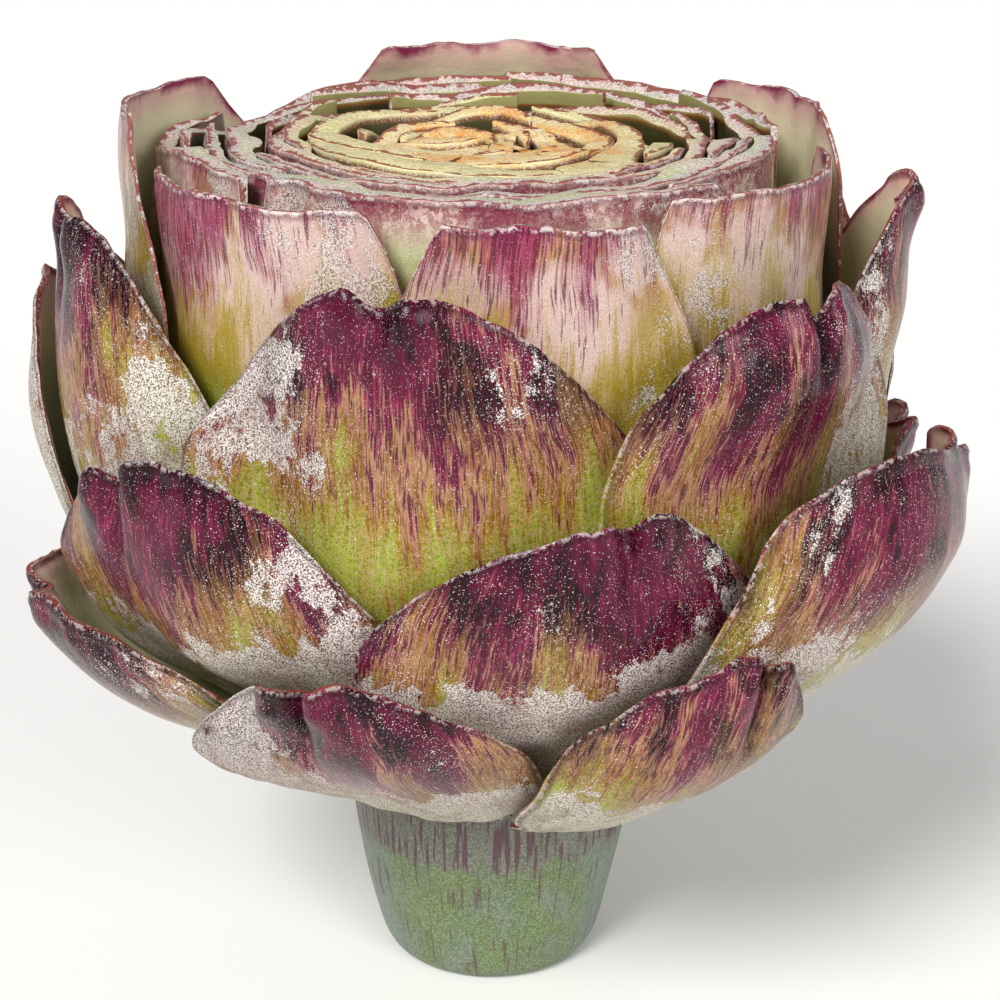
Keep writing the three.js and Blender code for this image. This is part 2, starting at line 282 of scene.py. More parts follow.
def sample(field, azimuth, along):
    column = (azimuth % 360.0) / (360.0 / FIELD_COLUMNS)
    row = np.clip((along - FIELD_BOTTOM) / FIELD_STEP, 0.0, FIELD_ROWS - 1.001)
    c = np.floor(column).astype(int)
    r = np.floor(row).astype(int)
    here, beside = c % FIELD_COLUMNS, (c + 1) % FIELD_COLUMNS
    low = mix(field[here, r], field[beside, r], column - c)
    high = mix(field[here, r + 1], field[beside, r + 1], column - c)
    return mix(low, high, row - r)


def shifted(field, columns, rows):
    """The field moved by whole cells: round in azimuth, held at the top and bottom."""
    turned = np.roll(field, columns, axis=0)
    picks = np.clip(np.arange(field.shape[1]) + rows, 0, field.shape[1] - 1)
    return turned[:, picks]


def widened(field):
    neighbours = [shifted(field, c, r) for c in range(-2, 3) for r in range(-2, 3)]
    return np.max(neighbours, axis=0)


def softened(field, passes):
    for _ in range(passes):
        field = (shifted(field, 1, 0) + 2 * field + shifted(field, -1, 0)) / 4
        field = (shifted(field, 0, -1) + 2 * field + shifted(field, 0, 1)) / 4
    return field


def laid_over(field, bract, below):
    """The field with this bract added."""
    turned = np.radians(wrap(FIELD_AZIMUTHS - bract.azimuth))
    layer = layer_rho(bract, FIELD_HEIGHTS)
    radius = layer * np.cos(np.minimum(FIELD_HEIGHTS, 0.0) / ARC_RADIUS)
    s = FIELD_HEIGHTS - bract.root
    x = turned * radius / half_width_at(bract, np.maximum(s, 0.0))
    reach = reach_at(bract, x)
    covered = (s >= -1.5) & (np.abs(x) <= 1.0) & (s <= reach + 1.0)
    x = np.clip(x, -1.0, 1.0)
    y = np.clip(s / reach, 0.0, 1.0)
    inner = inner_rho(bract, below, FIELD_AZIMUTHS, FIELD_HEIGHTS, x, y)
    outer = inner + thickness_at(bract, x, y)
    return np.where(covered, np.maximum(field, outer), field)


def stack_bracts():
    """Each bract with the field that it lies on, from the innermost outwards."""
    field = np.repeat(curve(CORE, FIELD_HEIGHTS), FIELD_COLUMNS, axis=0)
    stack = []
    for index in reversed(range(BRACT_COUNT)):
        bract = bract_of(index)
        below = softened(widened(field), 6 if index < LOOSE_BRACTS else 2)
        stack.append((bract, below))
        field = laid_over(field, bract, below)
    return stack


# Mesh helpers


def begin_piece():
    if bpy.context.object and bpy.context.object.mode != "OBJECT":
        bpy.ops.object.mode_set(mode="OBJECT")
    bpy.ops.object.select_all(action="DESELECT")


def apply_modifier(piece, kind, **settings):
    bpy.ops.object.modifier_add(type=kind)
    modifier = piece.modifiers[-1]
    for name, value in settings.items():
        setattr(modifier, name, value)
    bpy.ops.object.modifier_apply(modifier=modifier.name)


def add_sheet(name, columns, rows):
    """A grid from -1 to 1, and the place of its points across and along."""
    begin_piece()
    bpy.ops.mesh.primitive_grid_add(x_subdivisions=columns, y_subdivisions=rows, size=2.0)
    piece = bpy.context.object
    piece.name = name
    piece.data.name = name
    flat = np.empty(len(piece.data.vertices) * 3)
    piece.data.vertices.foreach_get("co", flat)
    flat = flat.reshape(-1, 3)
    return piece, flat[:, 0], (flat[:, 1] + 1.0) / 2.0


def set_points(piece, points):
    piece.data.vertices.foreach_set("co", (points * MM).ravel())
    piece.data.update()


def set_attribute(piece, name, values):
    layer = piece.data.attributes.new(name, "FLOAT", "POINT")
    count = len(piece.data.vertices)
    layer.data.foreach_set("value", np.broadcast_to(values, count).astype(np.float32))


def set_attributes(piece, **values):
    for name, value in values.items():
        set_attribute(piece, name, value)


def thicken(piece, finishes, thickness, bevel, droop=0.0):
    """Gives the sheet its own thickness inwards, then rounds its edges.

    The finishes are for the outside, the inside and the edge. A droop lowers the inner side
    of the top edge, in millimetres.
    """
    for finish in finishes:
        piece.data.materials.append(finish)
    most = float(thickness.max())
    outside_count = len(piece.data.vertices)
    group = piece.vertex_groups.new(name="thickness")
    for index, value in enumerate(thickness):
        group.add([index], float(value) / most, "REPLACE")
    apply_modifier(
        piece,
        "SOLIDIFY",
        thickness=most * MM,
        offset=-1.0,
        vertex_group="thickness",
        material_offset=1,
        material_offset_rim=2,
    )
    lower_inner_edge(piece, outside_count, droop * thickness / most)
    set_attribute(piece, "inward", np.concatenate([np.zeros(outside_count), thickness]))
    apply_modifier(
        piece, "BEVEL", width=bevel * MM, segments=2, limit_method="ANGLE", angle_limit=math.radians(50)
    )
    piece.vertex_groups.clear()
    bpy.ops.object.shade_smooth()


def lower_inner_edge(piece, outside_count, droop):
    below = piece.data.attributes["below_tip"].data
    for vertex in piece.data.vertices[outside_count:]:
        near_top = max(0.0, 1.0 - max(0.0, below[vertex.index].value) / 4.0)
        vertex.co.z -= float(droop[vertex.index - outside_count]) * MM * near_top


def hand_over(piece, node):
    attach(piece, "root")
    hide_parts(node)


# Bracts


@dataclass
class Look:
    """How one bract is coloured: bloom by side and foot, blush by side, and a shift in mm."""

    left: float = 0.45
    right: float = 0.45
    low: float = 0.30
    blush_left: float = 0.6
    blush_right: float = 0.6
    shift: float = 0.0
    cleft: float = 1.0


OWN_LOOK = {
    0: Look(left=0.15, right=0.25, low=0.85, shift=4.0, cleft=1.8),
    3: Look(left=0.80, right=0.20, low=0.95, shift=-2.0, cleft=2.6),
    5: Look(left=0.42, right=0.15, low=0.72, shift=2.0),
    6: Look(left=0.20, right=0.30, low=0.30, shift=1.0),
    8: Look(left=0.10, right=0.50, low=0.90, shift=-4.0, cleft=1.5),
    11: Look(left=0.10, right=0.38, low=0.78, shift=-0.5, cleft=2.0),
    13: Look(left=0.10, right=0.55, low=0.25, shift=-1.0, cleft=1.6),
    16: Look(left=0.78, right=0.22, low=-0.30, shift=0.0),
    18: Look(left=0.45, right=0.65, low=0.40, shift=2.0),
    19: Look(left=0.45, right=0.35, low=0.55, shift=-1.0),
    21: Look(left=0.20, right=0.40, low=0.10, blush_left=0.80, blush_right=0.35, shift=1.0),
    24: Look(left=0.15, right=0.45, low=0.15, blush_left=1.00, blush_right=0.30, shift=2.0),
    26: Look(left=0.35, right=0.25, low=0.15, blush_left=0.40, blush_right=0.80, shift=2.0),
}


def look_of(bract):
    drawn = random.Random(bract.index + 5)
    plain = Look(
        left=drawn.uniform(0.3, 0.8),
        right=drawn.uniform(0.3, 0.8),
        low=drawn.uniform(0.2, 0.6),
        blush_left=drawn.uniform(0.3, 0.9),
        blush_right=drawn.uniform(0.3, 0.9),
        shift=drawn.uniform(-2.0, 2.0),
    )
    if bract.index >= FIRST_RING_BRACT:
        plain.blush_left *= RING_BLUSH
        plain.blush_right *= RING_BLUSH
    return OWN_LOOK.get(bract.index, plain)


def bract_columns(flat_x):
    """Columns closer together at the sides."""
    return 0.5 * np.sin(math.pi / 2 * flat_x) + 0.5 * flat_x


def is_cut(bract):
    return bract.index >= FIRST_CUT_BRACT


def behind(azimuth):
    """0 on the best side of the head, 1 at its back."""
    return smooth(0.3, -0.5, np.cos(np.radians(azimuth)))


def reach_with_wave(bract, x, azimuth, settings):
    """The bract's reach with an uneven margin, and the cut rising towards the back."""
    size = settings.cut_wave if is_cut(bract) else settings.tip_wave
    wave = size * wavy(x * 3.0, x * 0.0 + 3.0, bract.index) * (1.0 - np.abs(x) ** 6)
    wave = wave + 0.5 * size * wavy(x * 9.0, x * 0.0 + 5.0, bract.index)
    if not is_cut(bract):
        deeper = (look_of(bract).cleft - 1.0) * NOTCH_DEPTH * bract.length
        return reach_at(bract, x) + wave - deeper * bell(x - bract.notch, 0.8 * NOTCH_WIDTH)
    if bract.index < FIRST_RING_BRACT:
        return np.minimum(reach_at(bract, x) + 1.5, bract.cut_length + wave)
    drawn = random.Random(bract.index + 200)
    back = behind(azimuth)
    uneven = drawn.uniform(-0.7, 0.5) + drawn.uniform(-0.8, 0.8) * x
    dip = drawn.choice(RING_DIPS) * bell(x - drawn.uniform(-0.4, 0.4), 0.34)
    cut = bract.cut_length - settings.cut_tilt * np.cos(np.radians(azimuth)) + wave
    cut = cut + uneven * mix(0.5, 1.3, back) - dip * back
    return np.minimum(reach_at(bract, x) + 1.5, cut)


def relief(bract, x, s, reach, edge, settings):
    """Height of the lip, the crease, the lobes and the soft ribs on the outer face."""
    below_tip = reach - s
    half = half_width_at(bract, s)
    ribs = settings.rib_height * wavy(x * half / 1.3, s / 26.0, bract.index + 50)
    dents = 0.45 * wavy(x * half / 8.0, s / 11.0, bract.index + 90)
    fade = smooth(0.0, 2.0, edge)
    height = ribs * fade + dents * fade
    if is_cut(bract):
        ripple = 0.5 if bract.index < FIRST_RING_BRACT else 0.8
        ripples = wavy(x * half / 4.0, s / 30.0, bract.index + 30)
        return height + ripple * ripples * smooth(9.0, 0.0, below_tip)
    lip = settings.lip_height * bell(edge - 0.7, 0.6)
    crumple = 0.5 * wavy(x * half / 2.6, s / 5.0, bract.index + 70) * smooth(5.0, 1.0, edge)
    from_notch = x - bract.notch + 0.02 * wavy(s / 4.0, s * 0.0, bract.index)
    cleft = look_of(bract).cleft
    crease = (0.7 + 0.5 * cleft) * bell(from_notch, 0.05) * smooth(15.0, 1.0, below_tip)
    lobes = (0.6 + 0.5 * cleft) * bell(np.abs(from_notch) - 0.16, 0.10) * smooth(8.0, 0.5, below_tip)
    return height + lip + crumple * 0.6 - crease + lobes


def filled_thickness(x, thick, outer, below, azimuth, along):
    """Ring bracts fill the room inwards up to a limit: fleshy in front, thinner behind."""
    room = outer - sample(below, azimuth, along) - 0.12
    most = mix(FLESHY_FRONT, FLESHY_BACK, behind(azimuth))
    return np.clip(room, 0.8 * thick, np.maximum(mix(most, 0.6, np.abs(x) ** 2.5), 0.8 * thick))


def frost_cover(look, x, below_tip):
    """Share of the face under bloom, from 0 to 1."""
    sides = look.left * smooth(-0.05, -0.75, x) + look.right * smooth(0.05, 0.75, x)
    cover = sides + look.low * smooth(12.0, 26.0, below_tip)
    return np.clip(cover, 0.0, 0.95)


def make_bract(bract, below, columns, rows, finishes, settings):
    node = f"bract_{bract.index + 1:02d}"
    piece, flat_x, y = add_sheet(node + "_leaf", columns, rows)
    x = bract_columns(flat_x)
    y = 1.0 - (1.0 - y) ** 1.15
    top_radius = float(layer_rho(bract, HEART_TOP_Z - BELLY_Z))
    azimuth = bract.azimuth + np.degrees(x * bract.half / top_radius)
    reach = reach_with_wave(bract, x, azimuth, settings)
    s = y * reach
    along = bract.root + s
    radius = layer_rho(bract, along) * np.cos(np.minimum(along, 0.0) / ARC_RADIUS)
    half = half_width_at(bract, s)
    azimuth = bract.azimuth + np.degrees(x * half / radius)
    inner = inner_rho(bract, below, azimuth, along, x, y)
    inner = smoothed_grid(inner, columns, rows, 3)
    edge = np.minimum((1.0 - np.abs(x)) * half, reach - s)
    thick = thickness_at(bract, x, y)
    if not is_cut(bract):
        thick = thick * mix(0.45, 1.0, smooth(0.0, 3.0, edge))
    outer = inner + thick
    height = relief(bract, x, s, reach, edge, settings)
    if bract.index >= FIRST_RING_BRACT:
        thick = mix(thick, 0.7, np.abs(x) ** 3)
        thick = filled_thickness(x, thick, outer, below, azimuth, along)
    elif is_cut(bract):
        thick = thick * mix(0.5, 1.0, smooth(0.0, 7.0, edge))
    set_points(piece, place(azimuth, along, outer + height))
    look = look_of(bract)
    below_tip = min(bract.length, bract.cut_length) - s
    set_attributes(
        piece,
        across=x * bract.half,
        along=along,
        below_tip=below_tip,
        edge=edge,
        seed=float(bract.index),
        age=bract.index / (BRACT_COUNT - 1),
        frost=frost_cover(look, x, below_tip),
        blush=mix(look.blush_left, look.blush_right, smooth(-0.6, 0.6, x)),
        shift=look.shift + 8.0 * np.abs(x) ** 2.4,
    )
    droop = settings.cut_droop if bract.index >= FIRST_RING_BRACT else 0.0
    thicken(piece, finishes, thick, 0.12, droop * mix(-0.35, 1.0, behind(azimuth)))
    return piece, node


def smoothed_grid(values, columns, rows, passes):
    grid = values.reshape(rows + 1, columns + 1)
    for _ in range(passes):
        padded = np.pad(grid, 1, mode="edge")
        beside = padded[1:-1, :-2] + padded[1:-1, 2:]
        above = padded[:-2, 1:-1] + padded[2:, 1:-1]
        grid = (beside + above + 4 * grid) / 8
    return grid.ravel()


# Shader building


class Graph:
    """Adds nodes to one tree, each fed by values or by sockets."""

    def __init__(self, tree):
        self.tree = tree

    def add(self, kind, inputs=(), **settings):
        node = self.tree.nodes.new(kind)
        node.location = (len(self.tree.nodes) * 60.0, -(len(self.tree.nodes) % 7) * 160.0)
        for name, value in settings.items():
            setattr(node, name, value)
        for key, value in dict(inputs).items():
            self.feed(node.inputs[key], value)
        return node

    def feed(self, socket, value):
        if isinstance(value, bpy.types.NodeSocket):
            self.tree.links.new(value, socket)
        else:
            socket.default_value = value

    def math(self, operation, a, b=0.0):
        return self.add("ShaderNodeMath", {0: a, 1: b}, operation=operation).outputs[0]

    def times(self, a, b):
        return self.math("MULTIPLY", a, b)

    def plus(self, a, b):
        return self.math("ADD", a, b)

    def step(self, value, low, high):
        """0 below low, 1 above high, smooth between."""
        inputs = {"Value": value, "From Min": low, "From Max": high}
        return self.add("ShaderNodeMapRange", inputs, interpolation_type="SMOOTHSTEP").outputs[0]

    def mix(self, factor, a, b, blend="MIX"):
        node = self.add("ShaderNodeMix", data_type="RGBA", blend_type=blend)
        self.feed(node.inputs[0], factor)
        self.feed(node.inputs[6], a)
        self.feed(node.inputs[7], b)
        return node.outputs[2]

    def blend_values(self, factor, a, b):
        node = self.add("ShaderNodeMix", data_type="FLOAT")
        self.feed(node.inputs[0], factor)
        self.feed(node.inputs[2], a)
        self.feed(node.inputs[3], b)
        return node.outputs[0]

    def ramp(self, factor, stops):
        node = self.add("ShaderNodeValToRGB", {0: factor})
        elements = node.color_ramp.elements
        while len(elements) < len(stops):
            elements.new(1.0)
        for element, (position, colour) in zip(elements, stops):
            element.position = position
            element.color = colour
        return node.outputs[0]

    def scaled(self, vector, by):
        return self.add("ShaderNodeVectorMath", {0: vector, 1: by}, operation="MULTIPLY").outputs[0]

    def noise(self, vector, scale, detail=3.0, roughness=0.55):
        inputs = {"Vector": vector, "Scale": scale, "Detail": detail, "Roughness": roughness}
        return self.add("ShaderNodeTexNoise", inputs).outputs[0]

    def attribute(self, name):
        return self.add("ShaderNodeAttribute", attribute_name=name).outputs["Fac"]

    def group(self, tree, inputs):
        node = self.add("ShaderNodeGroup", node_tree=tree)
        for key, value in inputs.items():
            self.feed(node.inputs[key], value)
        return node.outputs


def srgb(code):
    """A colour from its usual code, as linear red, green, blue and alpha."""
    values = [int(code[k : k + 2], 16) / 255.0 for k in (1, 3, 5)]
    linear = [v / 12.92 if v <= 0.04045 else ((v + 0.055) / 1.055) ** 2.4 for v in values]
    return (*linear, 1.0)


def new_group(name, inputs, outputs):
    """An empty shader group with named sockets, its graph, and its ends."""
    tree = bpy.data.node_groups.new(name, "ShaderNodeTree")
    for socket, kind in inputs:
        tree.interface.new_socket(name=socket, in_out="INPUT", socket_type=kind)
    for socket, kind in outputs:
        tree.interface.new_socket(name=socket, in_out="OUTPUT", socket_type=kind)
    graph = Graph(tree)
    start = graph.add("NodeGroupInput").outputs
    end = graph.add("NodeGroupOutput").inputs
    return graph, start, end


VALUE = "NodeSocketFloat"
VECTOR = "NodeSocketVector"
LEAF_VALUES = ("below_tip", "edge", "age", "frost", "blush", "shift")


def make_leaf_place_group():
    """Where a point lies on its leaf, in millimetres, and the leaf's own values."""
    outputs = [("Along Leaf", VECTOR), ("Grain", VECTOR), ("Radius", VALUE)]
    outputs += [(name, VALUE) for name in LEAF_VALUES]
    graph, _, end = new_group("leaf_place", (), outputs)
    apart = graph.times(graph.attribute("seed"), 17.3)
    coordinates = graph.add("ShaderNodeTexCoord").outputs["Object"]
    grain = graph.scaled(coordinates, (1 / MM, 1 / MM, 1 / MM))
    sway = graph.times(graph.math("SUBTRACT", graph.noise(grain, 0.16, 0.0), 0.5), 1.2)
    across = graph.plus(graph.attribute("across"), sway)
    parts = {"X": across, "Y": graph.attribute("along"), "Z": apart}
    graph.feed(end["Along Leaf"], graph.add("ShaderNodeCombineXYZ", parts).outputs[0])
    graph.feed(end["Grain"], grain)
    level = graph.scaled(grain, (1.0, 1.0, 0.0))
    radius = graph.add("ShaderNodeVectorMath", {0: level}, operation="LENGTH").outputs["Value"]
    graph.feed(end["Radius"], radius)
    for name in LEAF_VALUES:
        graph.feed(end[name], graph.attribute(name))
    return graph.tree


def make_streaky_drift_group():
    """Shift in millimetres of a colour's height, so that colours run into each other in streaks."""
    inputs = (("Place", VECTOR), ("Broad", VALUE), ("Middle", VALUE), ("Fine", VALUE))
    graph, start, end = new_group("streaky_drift", inputs, (("Shift", VALUE),))
    total = 0.0
    stretches = (
        ("Broad", (0.22, 0.06, 1), 1.0),
        ("Middle", (1.5, 0.09, 1), 1.0),
        ("Fine", (5.5, 0.32, 1), 0.0),
    )
    for name, stretch, detail in stretches:
        value = graph.noise(graph.scaled(start["Place"], stretch), 1.0, detail, 0.5)
        centred = graph.math("SUBTRACT", value, 0.5)
        total = graph.plus(total, graph.times(centred, start[name]))
    graph.feed(end["Shift"], total)
    return graph.tree


def make_dashes_group():
    """Fine dashes along a leaf or stem: a mask from 0 to 1."""
    inputs = (("Place", VECTOR), ("Width", VALUE), ("Length", VALUE), ("Amount", VALUE))
    graph, start, end = new_group("dashes", inputs, (("Mask", VALUE),))
    across = graph.math("DIVIDE", 1.0, start["Width"])
    along = graph.math("DIVIDE", 1.0, start["Length"])
    stretch = graph.add("ShaderNodeCombineXYZ", {"X": across, "Y": along, "Z": 1.0}).outputs[0]
    value = graph.noise(graph.scaled(start["Place"], stretch), 1.0, 1.0, 0.6)
    low = graph.blend_values(start["Amount"], 0.74, 0.34)
    high = graph.plus(low, 0.08)
    graph.feed(end["Mask"], graph.step(value, low, high))
    return graph.tree


def make_frost_group():
    """Waxy bloom in sharp patches of fine grains, with loose grains round them."""
    inputs = (("Place", VECTOR), ("Grain", VECTOR), ("Cover", VALUE), ("Grain Size", VALUE))
    outputs = (("Mask", VALUE), ("Patch", VALUE), ("Tone", VALUE), ("Grit", VALUE))
    graph, start, end = new_group("frost", inputs, outputs)
    broad = graph.noise(graph.scaled(start["Place"], (0.15, 0.10, 1.0)), 1.0, 4.0, 0.72)
    spread = graph.times(graph.math("SUBTRACT", broad, 0.5), 2.4)
    level = graph.plus(start["Cover"], spread)
    patch = graph.step(level, 0.46, 0.58)
    halo = graph.step(level, 0.05, 0.80)
    scale = graph.math("DIVIDE", 1.0, start["Grain Size"])
    grains = graph.noise(start["Grain"], scale, 1.0, 0.9)
    low = graph.blend_values(halo, 0.665, 0.56)
    low = graph.blend_values(patch, low, 0.47)
    graph.feed(end["Mask"], graph.step(grains, low, graph.plus(low, 0.05)))
    graph.feed(end["Grit"], grains)
    graph.feed(end["Patch"], patch)
    graph.feed(end["Tone"], broad)
    return graph.tree


GROUP_MAKERS = {
    "leaf_place": make_leaf_place_group,
    "streaky_drift": make_streaky_drift_group,
    "dashes": make_dashes_group,
    "frost": make_frost_group,
}


def shared(name):
    return bpy.data.node_groups.get(name) or GROUP_MAKERS[name]()


def new_material(name):
    material = bpy.data.materials.new(name)
    material.use_nodes = True
    graph = Graph(material.node_tree)
    shader = material.node_tree.nodes["Principled BSDF"]
    return material, graph, shader


def bumped(graph, height, strength, distance_mm):
    inputs = {"Height": height, "Strength": strength, "Distance": distance_mm * MM}
    return graph.add("ShaderNodeBump", inputs).outputs[0]


PIT_TINT = (0.34, 0.26, 0.26, 1.0)


def bloom(graph, leaf, body, colours, cover, strength):
    """Lays frost over a colour, and gives the new colour and the frost's masks."""
    inputs = {"Place": leaf["Along Leaf"], "Grain": leaf["Grain"], "Cover": cover, "Grain Size": 0.17}
    frost = graph.group(shared("frost"), inputs)
    depth = graph.blend_values(frost["Patch"], 0.3, 0.6)
    pits = graph.times(graph.step(frost["Grit"], 0.48, 0.38), depth)
    body = graph.mix(pits, body, PIT_TINT, "MULTIPLY")
    body = graph.mix(graph.times(frost["Patch"], 0.55 * strength), body, colours.bloom_shade)
    # Partly painted shade: a broad noise picks where the bloom's grains keep their lit colour and where
    # they take a darker copy that stands for shaded grains.
    white = graph.mix(graph.step(frost["Tone"], 0.36, 0.54), colours.frost_shade, colours.frost)
    body = graph.mix(graph.times(frost["Mask"], 0.9 * strength), body, white)
    return body, frost


def wax_skin(graph, shader, body, rough, patch, fine):
    """A waxy face: a thin gloss that bloom takes away, over fine bumps."""
    graph.feed(shader.inputs["Base Color"], body)
    graph.feed(shader.inputs["Roughness"], graph.blend_values(patch, rough, 0.66))
    graph.feed(shader.inputs["Coat Weight"], graph.blend_values(patch, 0.08, 0.0))
    shader.inputs["Coat Roughness"].default_value = 0.10
    shader.inputs["Specular IOR Level"].default_value = 0.18
    graph.feed(shader.inputs["Normal"], bumped(graph, fine, 0.5, 0.16))


def finish_outer_face(colours):
    """Plum tips that run in streaks through brown and gold to green, with patches of bloom."""
    material, graph, shader = new_material("outer_bract_face")
    leaf = graph.group(shared("leaf_place"), {})
    place_of = leaf["Along Leaf"]
    drifts = {"Place": place_of, "Broad": 38.0, "Middle": 18.0, "Fine": 12.0}
    drift = graph.group(shared("streaky_drift"), drifts)
    down = graph.plus(graph.plus(leaf["below_tip"], leaf["shift"]), drift["Shift"])
    body = graph.ramp(
        graph.math("DIVIDE", down, 32.0),
        (
            (0.0, colours.burgundy),
            (0.24, colours.wine),
            (0.38, colours.rose_brown),
            (0.48, colours.tan),
            (0.58, colours.bronze),
            (0.68, colours.gold),
            (0.80, colours.leaf_green),
            (1.0, colours.lime),
        ),
    )
    tint = graph.noise(graph.scaled(place_of, (0.22, 0.12, 1.0)), 1.0, 2.0, 0.6)
    glow = graph.times(graph.step(tint, 0.47, 0.36), graph.step(down, 13.0, 6.0))
    body = graph.mix(graph.times(glow, 0.6), body, colours.magenta)
    warm = graph.times(graph.step(tint, 0.50, 0.64), graph.step(down, 6.0, 13.0))
    warm = graph.times(warm, graph.step(down, 30.0, 22.0))
    body = graph.mix(graph.times(warm, 0.7), body, colours.bronze)

    lighter = graph.times(graph.step(down, 3.0, 9.0), graph.step(down, 28.0, 20.0))
    lighter = graph.times(lighter, 0.52)
    aside = graph.scaled(place_of, (1.0, 1.0, 1.7))
    pale_dashes = graph.group(
        shared("dashes"), {"Place": aside, "Width": 0.24, "Length": 2.2, "Amount": lighter}
    )["Mask"]
    body = graph.mix(graph.times(pale_dashes, 0.55), body, colours.straw)
    amount = graph.times(graph.step(down, 27.0, 6.0), 0.85)
    dashes = graph.group(
        shared("dashes"), {"Place": place_of, "Width": 0.20, "Length": 2.4, "Amount": amount}
    )["Mask"]
    body = graph.mix(graph.times(dashes, 0.85), body, colours.streak)
    blotch = graph.noise(graph.scaled(place_of, (0.26, 0.11, 1.0)), 1.0, 2.0, 0.6)
    blotch = graph.times(graph.step(blotch, 0.45, 0.57), graph.step(leaf["below_tip"], 17.0, 8.0))
    ragged = graph.times(blotch, graph.blend_values(dashes, 0.6, 1.0))
    body = graph.mix(ragged, body, colours.night_plum)

    fine = graph.noise(leaf["Grain"], 2.4, 2.0, 0.75)
    dust = graph.times(graph.step(fine, 0.50, 0.58), graph.step(down, 14.0, 26.0))
    body = graph.mix(graph.times(dust, 0.5), body, colours.straw)
    shade = graph.times(graph.step(fine, 0.46, 0.38), graph.step(down, 8.0, 22.0))
    body = graph.mix(graph.times(shade, 0.4), body, colours.olive_speckle_and_gap_shade)
    body, frost = bloom(graph, leaf, body, colours, leaf["frost"], 1.0)
    worn = graph.noise(leaf["Grain"], 1.3, 2.0, 0.8)
    outline = graph.times(graph.step(leaf["edge"], 0.15, 0.4), graph.step(leaf["edge"], 1.3, 0.5))
    body = graph.mix(graph.times(outline, 0.5), body, colours.night_plum)
    pale = graph.times(graph.step(leaf["edge"], 0.6, 0.2), graph.step(worn, 0.50, 0.58))
    body = graph.mix(graph.times(pale, 0.65), body, colours.frost_shade)

    wax_skin(graph, shader, body, graph.blend_values(worn, 0.10, 0.26), frost["Patch"], fine)
    return material


def finish_cut_face(colours):
    """Cut bracts: lilac and cream blushed magenta from the cut, green towards the heart."""
    material, graph, shader = new_material("cut_bract_face")
    leaf = graph.group(shared("leaf_place"), {})
    place_of = leaf["Along Leaf"]
    drifts = {"Place": place_of, "Broad": 22.0, "Middle": 12.0, "Fine": 9.0}
    drift = graph.group(shared("streaky_drift"), drifts)
    down = graph.plus(graph.plus(leaf["below_tip"], leaf["shift"]), drift["Shift"])
    ground = graph.ramp(
        graph.math("DIVIDE", down, 30.0),
        (
            (0.0, colours.rose_brown),
            (0.22, colours.tan),
            (0.45, colours.cut_gold),
            (0.66, colours.gold),
            (0.84, colours.leaf_green),
            (1.0, colours.lime),
        ),
    )
    faded = graph.noise(graph.scaled(place_of, (0.13, 0.10, 1.0)), 1.0, 3.0, 0.65)
    pale = graph.times(graph.step(faded, 0.42, 0.54), graph.step(down, 18.0, 9.0))
    ground = graph.mix(graph.times(pale, 0.85), ground, colours.pale_lilac)
    golden = graph.times(graph.step(faded, 0.44, 0.34), graph.step(down, 8.0, 16.0))
    ground = graph.mix(graph.times(golden, 0.8), ground, colours.gold)
    reach = graph.times(leaf["blush"], 15.0)
    blush = graph.step(graph.math("SUBTRACT", reach, down), -3.0, 8.0)
    outside = graph.mix(graph.times(blush, 0.85), ground, colours.magenta)
    amount = graph.times(graph.step(graph.math("SUBTRACT", down, reach), 12.0, -6.0), 0.62)
    dashes = graph.group(
        shared("dashes"), {"Place": place_of, "Width": 0.26, "Length": 3.2, "Amount": amount}
    )["Mask"]
    outside = graph.mix(graph.times(dashes, 0.7), outside, colours.streak)

    worn = graph.noise(leaf["Grain"], 1.1, 3.0, 0.8)
    within = graph.ramp(
        graph.math("DIVIDE", leaf["below_tip"], 12.0),
        (
            (0.0, colours.skin_pink),
            (0.2, colours.pale_lilac),
            (0.5, colours.pale_green),
            (1.0, colours.gold),
        ),
    )
    browned = graph.times(graph.step(worn, 0.43, 0.53), graph.step(leaf["below_tip"], 6.0, 1.0))
    brown = graph.mix(dashes, colours.rust, colours.wine)
    within = graph.mix(graph.times(browned, 0.8), within, brown)
    purple = graph.times(graph.step(faded, 0.52, 0.42), graph.step(leaf["below_tip"], 8.0, 3.0))
    within = graph.mix(graph.times(purple, 0.65), within, colours.wine)
    body = graph.mix(graph.step(leaf["age"], 0.58, 0.70), outside, within)

    body, frost = bloom(graph, leaf, body, colours, leaf["frost"], 0.75)
    line = graph.times(graph.step(leaf["edge"], 0.15, 0.35), graph.step(leaf["edge"], 1.2, 0.45))
    body = graph.mix(graph.times(line, 0.55), body, colours.streak)
    margin = graph.times(graph.step(leaf["edge"], 0.65, 0.2), graph.step(worn, 0.48, 0.56))
    body = graph.mix(graph.times(margin, 0.65), body, colours.frost)

    fine = graph.noise(leaf["Grain"], 2.4, 2.0, 0.75)
    wax_skin(graph, shader, body, 0.24, frost["Patch"], fine)
    return material


